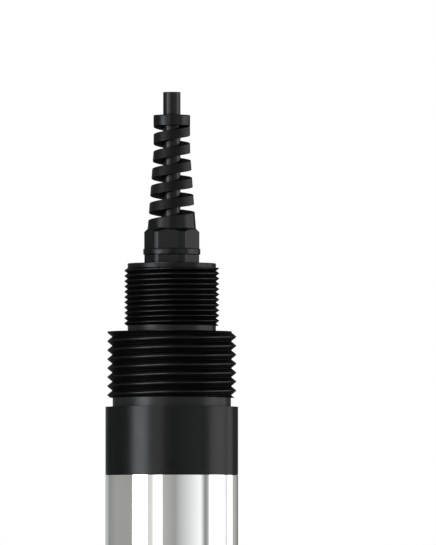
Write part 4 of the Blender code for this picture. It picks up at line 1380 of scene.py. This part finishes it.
@dataclass
class Studio:
    """White background, pale floor, soft lamps and the light tent that the steel mirrors.

    Azimuths are in degrees round the sensor: 0 towards the camera, positive to its right. A strip of the
    tent goes dark over the height top_fade and keeps the share dim of its light above that. The crest
    lamp gives the thread crests their long highlights, from high on the left.
    """

    floor_radius: float = 1.6
    floor_level: float = -0.0004
    floor_fade: tuple[float, float] = (0.12, 0.5)
    fill: float = 0.55
    tent_radius: float = 0.75
    tent_height: float = 0.95
    tent_depth: float = 1.3
    tent_gain: float = 11.0
    top_fade: float = 0.14
    dim: float = 0.06
    panels: tuple[Panel, ...] = (
        Panel(-180, -164, 0.45, 0.5, Tint.WARM),
        Panel(-158, -147, 0.6, 0.6, Tint.COOL),
        Panel(-141, -134, 0.36, 0.36, Tint.COOL),
        Panel(-112, -71.6, 0.452, 0.44, Tint.WARM),
        Panel(-70.6, -43.2, 11.0, 11.0, Tint.BLUISH, top=0.305),
        Panel(-42.8, -33.2, 0.82, 1.0, Tint.WARM),
        Panel(-30.6, -17.2, 1.9, 3.0, Tint.WARM),
        Panel(-15.4, 6, 0.6, 0.44, Tint.WHITE),
        Panel(15, 51, 0.68, 1.35, Tint.COOL),
        Panel(58.5, 62.5, 0.4, 0.36, Tint.COOL),
        Panel(65, 68, 0.6, 1.0, Tint.COOL),
        Panel(70, 103.6, 4.4, 5.0, Tint.WHITE, top=0.42),
        Panel(105.4, 113.4, 1.08, 1.0, Tint.WHITE),
        Panel(115.2, 126.0, 4.0, 4.0, Tint.WHITE, top=0.42),
        Panel(131.4, 152, 0.62, 0.42, Tint.WARM),
        Panel(158.5, 180, 0.2, 0.3, Tint.WARM),
    )
    lamps: tuple[Lamp, ...] = (
        Lamp("left_strip", azimuth=-58, elevation=4, distance=0.72, size=(0.22, 0.7), watts=5.2),
        Lamp("right_panel", azimuth=97, elevation=4, distance=0.72, size=(0.7, 0.7), watts=5.0),
        Lamp("top_panel", azimuth=0, elevation=88, distance=0.7, size=(0.6, 0.6), watts=2.0),
    )
    crest_lamp: Lamp = Lamp(
        "crest_light", azimuth=-45, elevation=60, distance=0.72, size=(0.5, 0.25), watts=10.0
    )

    def white_world(self) -> None:
        """A world that is white to the camera, mirrors and glass, and a soft fill for the rest."""
        world = bpy.data.worlds.new("white_studio")
        bpy.context.scene.world = world
        tree = blank_tree(world)
        path = add_node(tree, "LightPath")
        rays = [path.outputs[f"Is {kind} Ray"] for kind in ("Camera", "Glossy", "Transmission")]
        seen = add_node(tree, "Math", links={0: rays[0], 1: rays[1]}, operation="MAXIMUM")
        bare = add_node(tree, "Math", links={0: seen, 1: rays[2]}, operation="MAXIMUM")
        paint = linear(Tint.WHITE.value)
        fill = add_node(tree, "Background", {"Color": paint, "Strength": self.fill})
        white = add_node(tree, "Background", {"Color": paint, "Strength": 1.0})
        mixed = add_node(tree, "MixShader", links={0: bare, 1: fill, 2: white})
        add_node(tree, "OutputWorld", links={"Surface": mixed})

    def paper(self) -> bpy.types.Material:
        """White paper, matt: it takes the shadow near the sensor and is plain white further out.

        From below it is see-through, so that the sensing cap's face can be looked at.

        Returns:
            The floor's material.
        """
        made = bpy.data.materials.new("pale_matt_paper")
        tree = blank_tree(made)
        place = add_node(tree, "TexCoord").outputs["Object"]
        far = add_node(tree, "VectorMath", links={0: place}, operation="LENGTH").outputs["Value"]
        near, out = self.floor_fade
        fade = add_node(tree, "MapRange", {"From Min": near, "From Max": out}, {"Value": far})
        matt = add_node(tree, "BsdfDiffuse", {"Color": linear(Tint.PAPER.value)})
        glow = add_node(tree, "Emission", {"Color": linear(Tint.WHITE.value)})
        above = add_node(tree, "MixShader", links={0: fade, 1: matt, 2: glow})
        under = add_node(tree, "NewGeometry").outputs["Backfacing"]
        clear = add_node(tree, "BsdfTransparent")
        one_sided = add_node(tree, "MixShader", links={0: under, 1: above, 2: clear})
        add_node(tree, "OutputMaterial", links={"Surface": one_sided})
        return made

    def banded_cloth(self) -> bpy.types.Material:
        """The tent's grey and white cloth, in upright strips that go dark at their tops.

        Returns:
            The wall's material.
        """
        made = bpy.data.materials.new("banded_tent_cloth")
        tree = blank_tree(made)
        place = add_node(tree, "TexCoord").outputs["Object"]
        x, y, z = add_node(tree, "SeparateXYZ", links={0: place}).outputs
        toward = add_node(tree, "Math", {1: -1.0}, {0: y}, operation="MULTIPLY")
        azimuth = add_node(tree, "Math", links={0: x, 1: toward}, operation="ARCTAN2")
        share = add_node(tree, "MapRange", {"From Min": -math.pi, "From Max": math.pi}, {"Value": azimuth})
        cloths, tops = [], []
        for panel in self.panels:
            for side, level in ((panel.start, panel.left), (panel.end, panel.right)):
                cloth = tuple(channel * level / self.tent_gain for channel in linear(panel.tint.value)[:3])
                cloths.append(((side + 180) / 360, cloth + (1.0,)))
                tops.append(((side + 180) / 360, (panel.top, panel.top, panel.top, 1.0)))
        bands = add_node(tree, "ValToRGB", links={"Fac": share}, stops=cloths)
        reach = add_node(tree, "ValToRGB", links={"Fac": share}, stops=tops)
        below = add_node(tree, "Math", links={0: reach, 1: z}, operation="SUBTRACT")
        levels = {
            "From Min": -self.top_fade / 2,
            "From Max": self.top_fade / 2,
            "To Min": self.tent_gain * self.dim,
            "To Max": self.tent_gain,
        }
        strength = add_node(tree, "MapRange", levels, {"Value": below})
        glow = add_node(tree, "Emission", links={"Color": bands, "Strength": strength})
        add_node(tree, "OutputMaterial", links={"Surface": glow})
        return made

    def plain_cloth(self, name: str, shade: Tint) -> bpy.types.Material:
        """An evenly lit cloth for the tent's ceiling or bottom.

        Args:
            name: the material's name.
            shade: its brightness.

        Returns:
            The material.
        """
        made = bpy.data.materials.new(name)
        tree = blank_tree(made)
        glow = add_node(tree, "Emission", {"Color": linear(shade.value)})
        add_node(tree, "OutputMaterial", links={"Surface": glow})
        return made

    def stand(self, name: str, shape: bmesh.types.BMesh, cloth: bpy.types.Material) -> bpy.types.Object:
        """Stands a piece of the studio round the sensor.

        Args:
            name: its name.
            shape: its shape, which is freed.
            cloth: what it is made of.

        Returns:
            The piece, which only mirror-like surfaces see.
        """
        mesh = finished(name, shape)
        mesh.materials.append(cloth)
        obj = put(name, mesh)
        obj.visible_camera = obj.visible_diffuse = obj.visible_transmission = obj.visible_shadow = False
        return obj

    def floor(self) -> None:
        """A floor for the shadow. Mirrors see the tent go on through it, so steel is steel from above."""
        disc = bmesh.new()
        bmesh.ops.create_circle(disc, cap_ends=True, segments=96, radius=self.floor_radius)
        obj = self.stand("studio_floor", disc, self.paper())
        obj.location.z = self.floor_level
        obj.visible_camera = obj.visible_diffuse = obj.visible_transmission = obj.visible_shadow = True
        obj.visible_glossy = False

    def tent(self) -> None:
        """A round wall of banded cloth with a plain cloth above and below, for mirrors only."""
        wall = bmesh.new()
        bmesh.ops.create_cone(
            wall,
            segments=128,
            radius1=self.tent_radius,
            radius2=self.tent_radius,
            depth=self.tent_height + self.tent_depth,
            matrix=Matrix.Translation((0, 0, (self.tent_height - self.tent_depth) / 2)),
        )
        self.stand("light_tent", wall, self.banded_cloth())
        levels = {"ceiling": (self.tent_height, Tint.CEILING), "bottom": (-self.tent_depth, Tint.BOTTOM)}
        for end, (level, shade) in levels.items():
            disc = bmesh.new()
            bmesh.ops.create_circle(disc, cap_ends=True, segments=64, radius=self.tent_radius)
            cloth = self.plain_cloth(f"tent_{end}_cloth", shade)
            self.stand(f"tent_{end}", disc, cloth).location.z = level

    def light_crests(self, threaded: bpy.types.Object) -> None:
        """Hangs the crest lamp, which only makes highlights.

        Args:
            threaded: the piece with the threads, which alone it falls on.
        """
        lamp = self.crest_lamp.build()
        lamp.visible_glossy, lamp.visible_diffuse = True, False
        receivers = bpy.data.collections.new("threaded_pieces")
        receivers.objects.link(threaded)
        lamp.light_linking.receiver_collection = receivers

    def build(self, threaded: bpy.types.Object) -> None:
        """Sets up the camera, the background and the lamps.

        Args:
            threaded: the piece with the threads.
        """
        PhotoView().build()
        self.white_world()
        self.floor()
        self.tent()
        for lamp in self.lamps:
            lamp.build()
        self.light_crests(threaded)
        bpy.context.scene.view_settings.view_transform = "Standard"
        LOG.info("studio ready")


def main() -> None:
    """Builds the studio and each part of the sensor."""
    logging.basicConfig(level=logging.INFO, format="%(message)s")
    Studio().build(Head().build())
    for part in (GlandBody(), GlandNut(), Cable(), Tube(), Nose(), SensingCap(), Inside()):
        part.build()
        LOG.info("built %s", type(part).__name__)


if __name__ == "__main__":
    main()
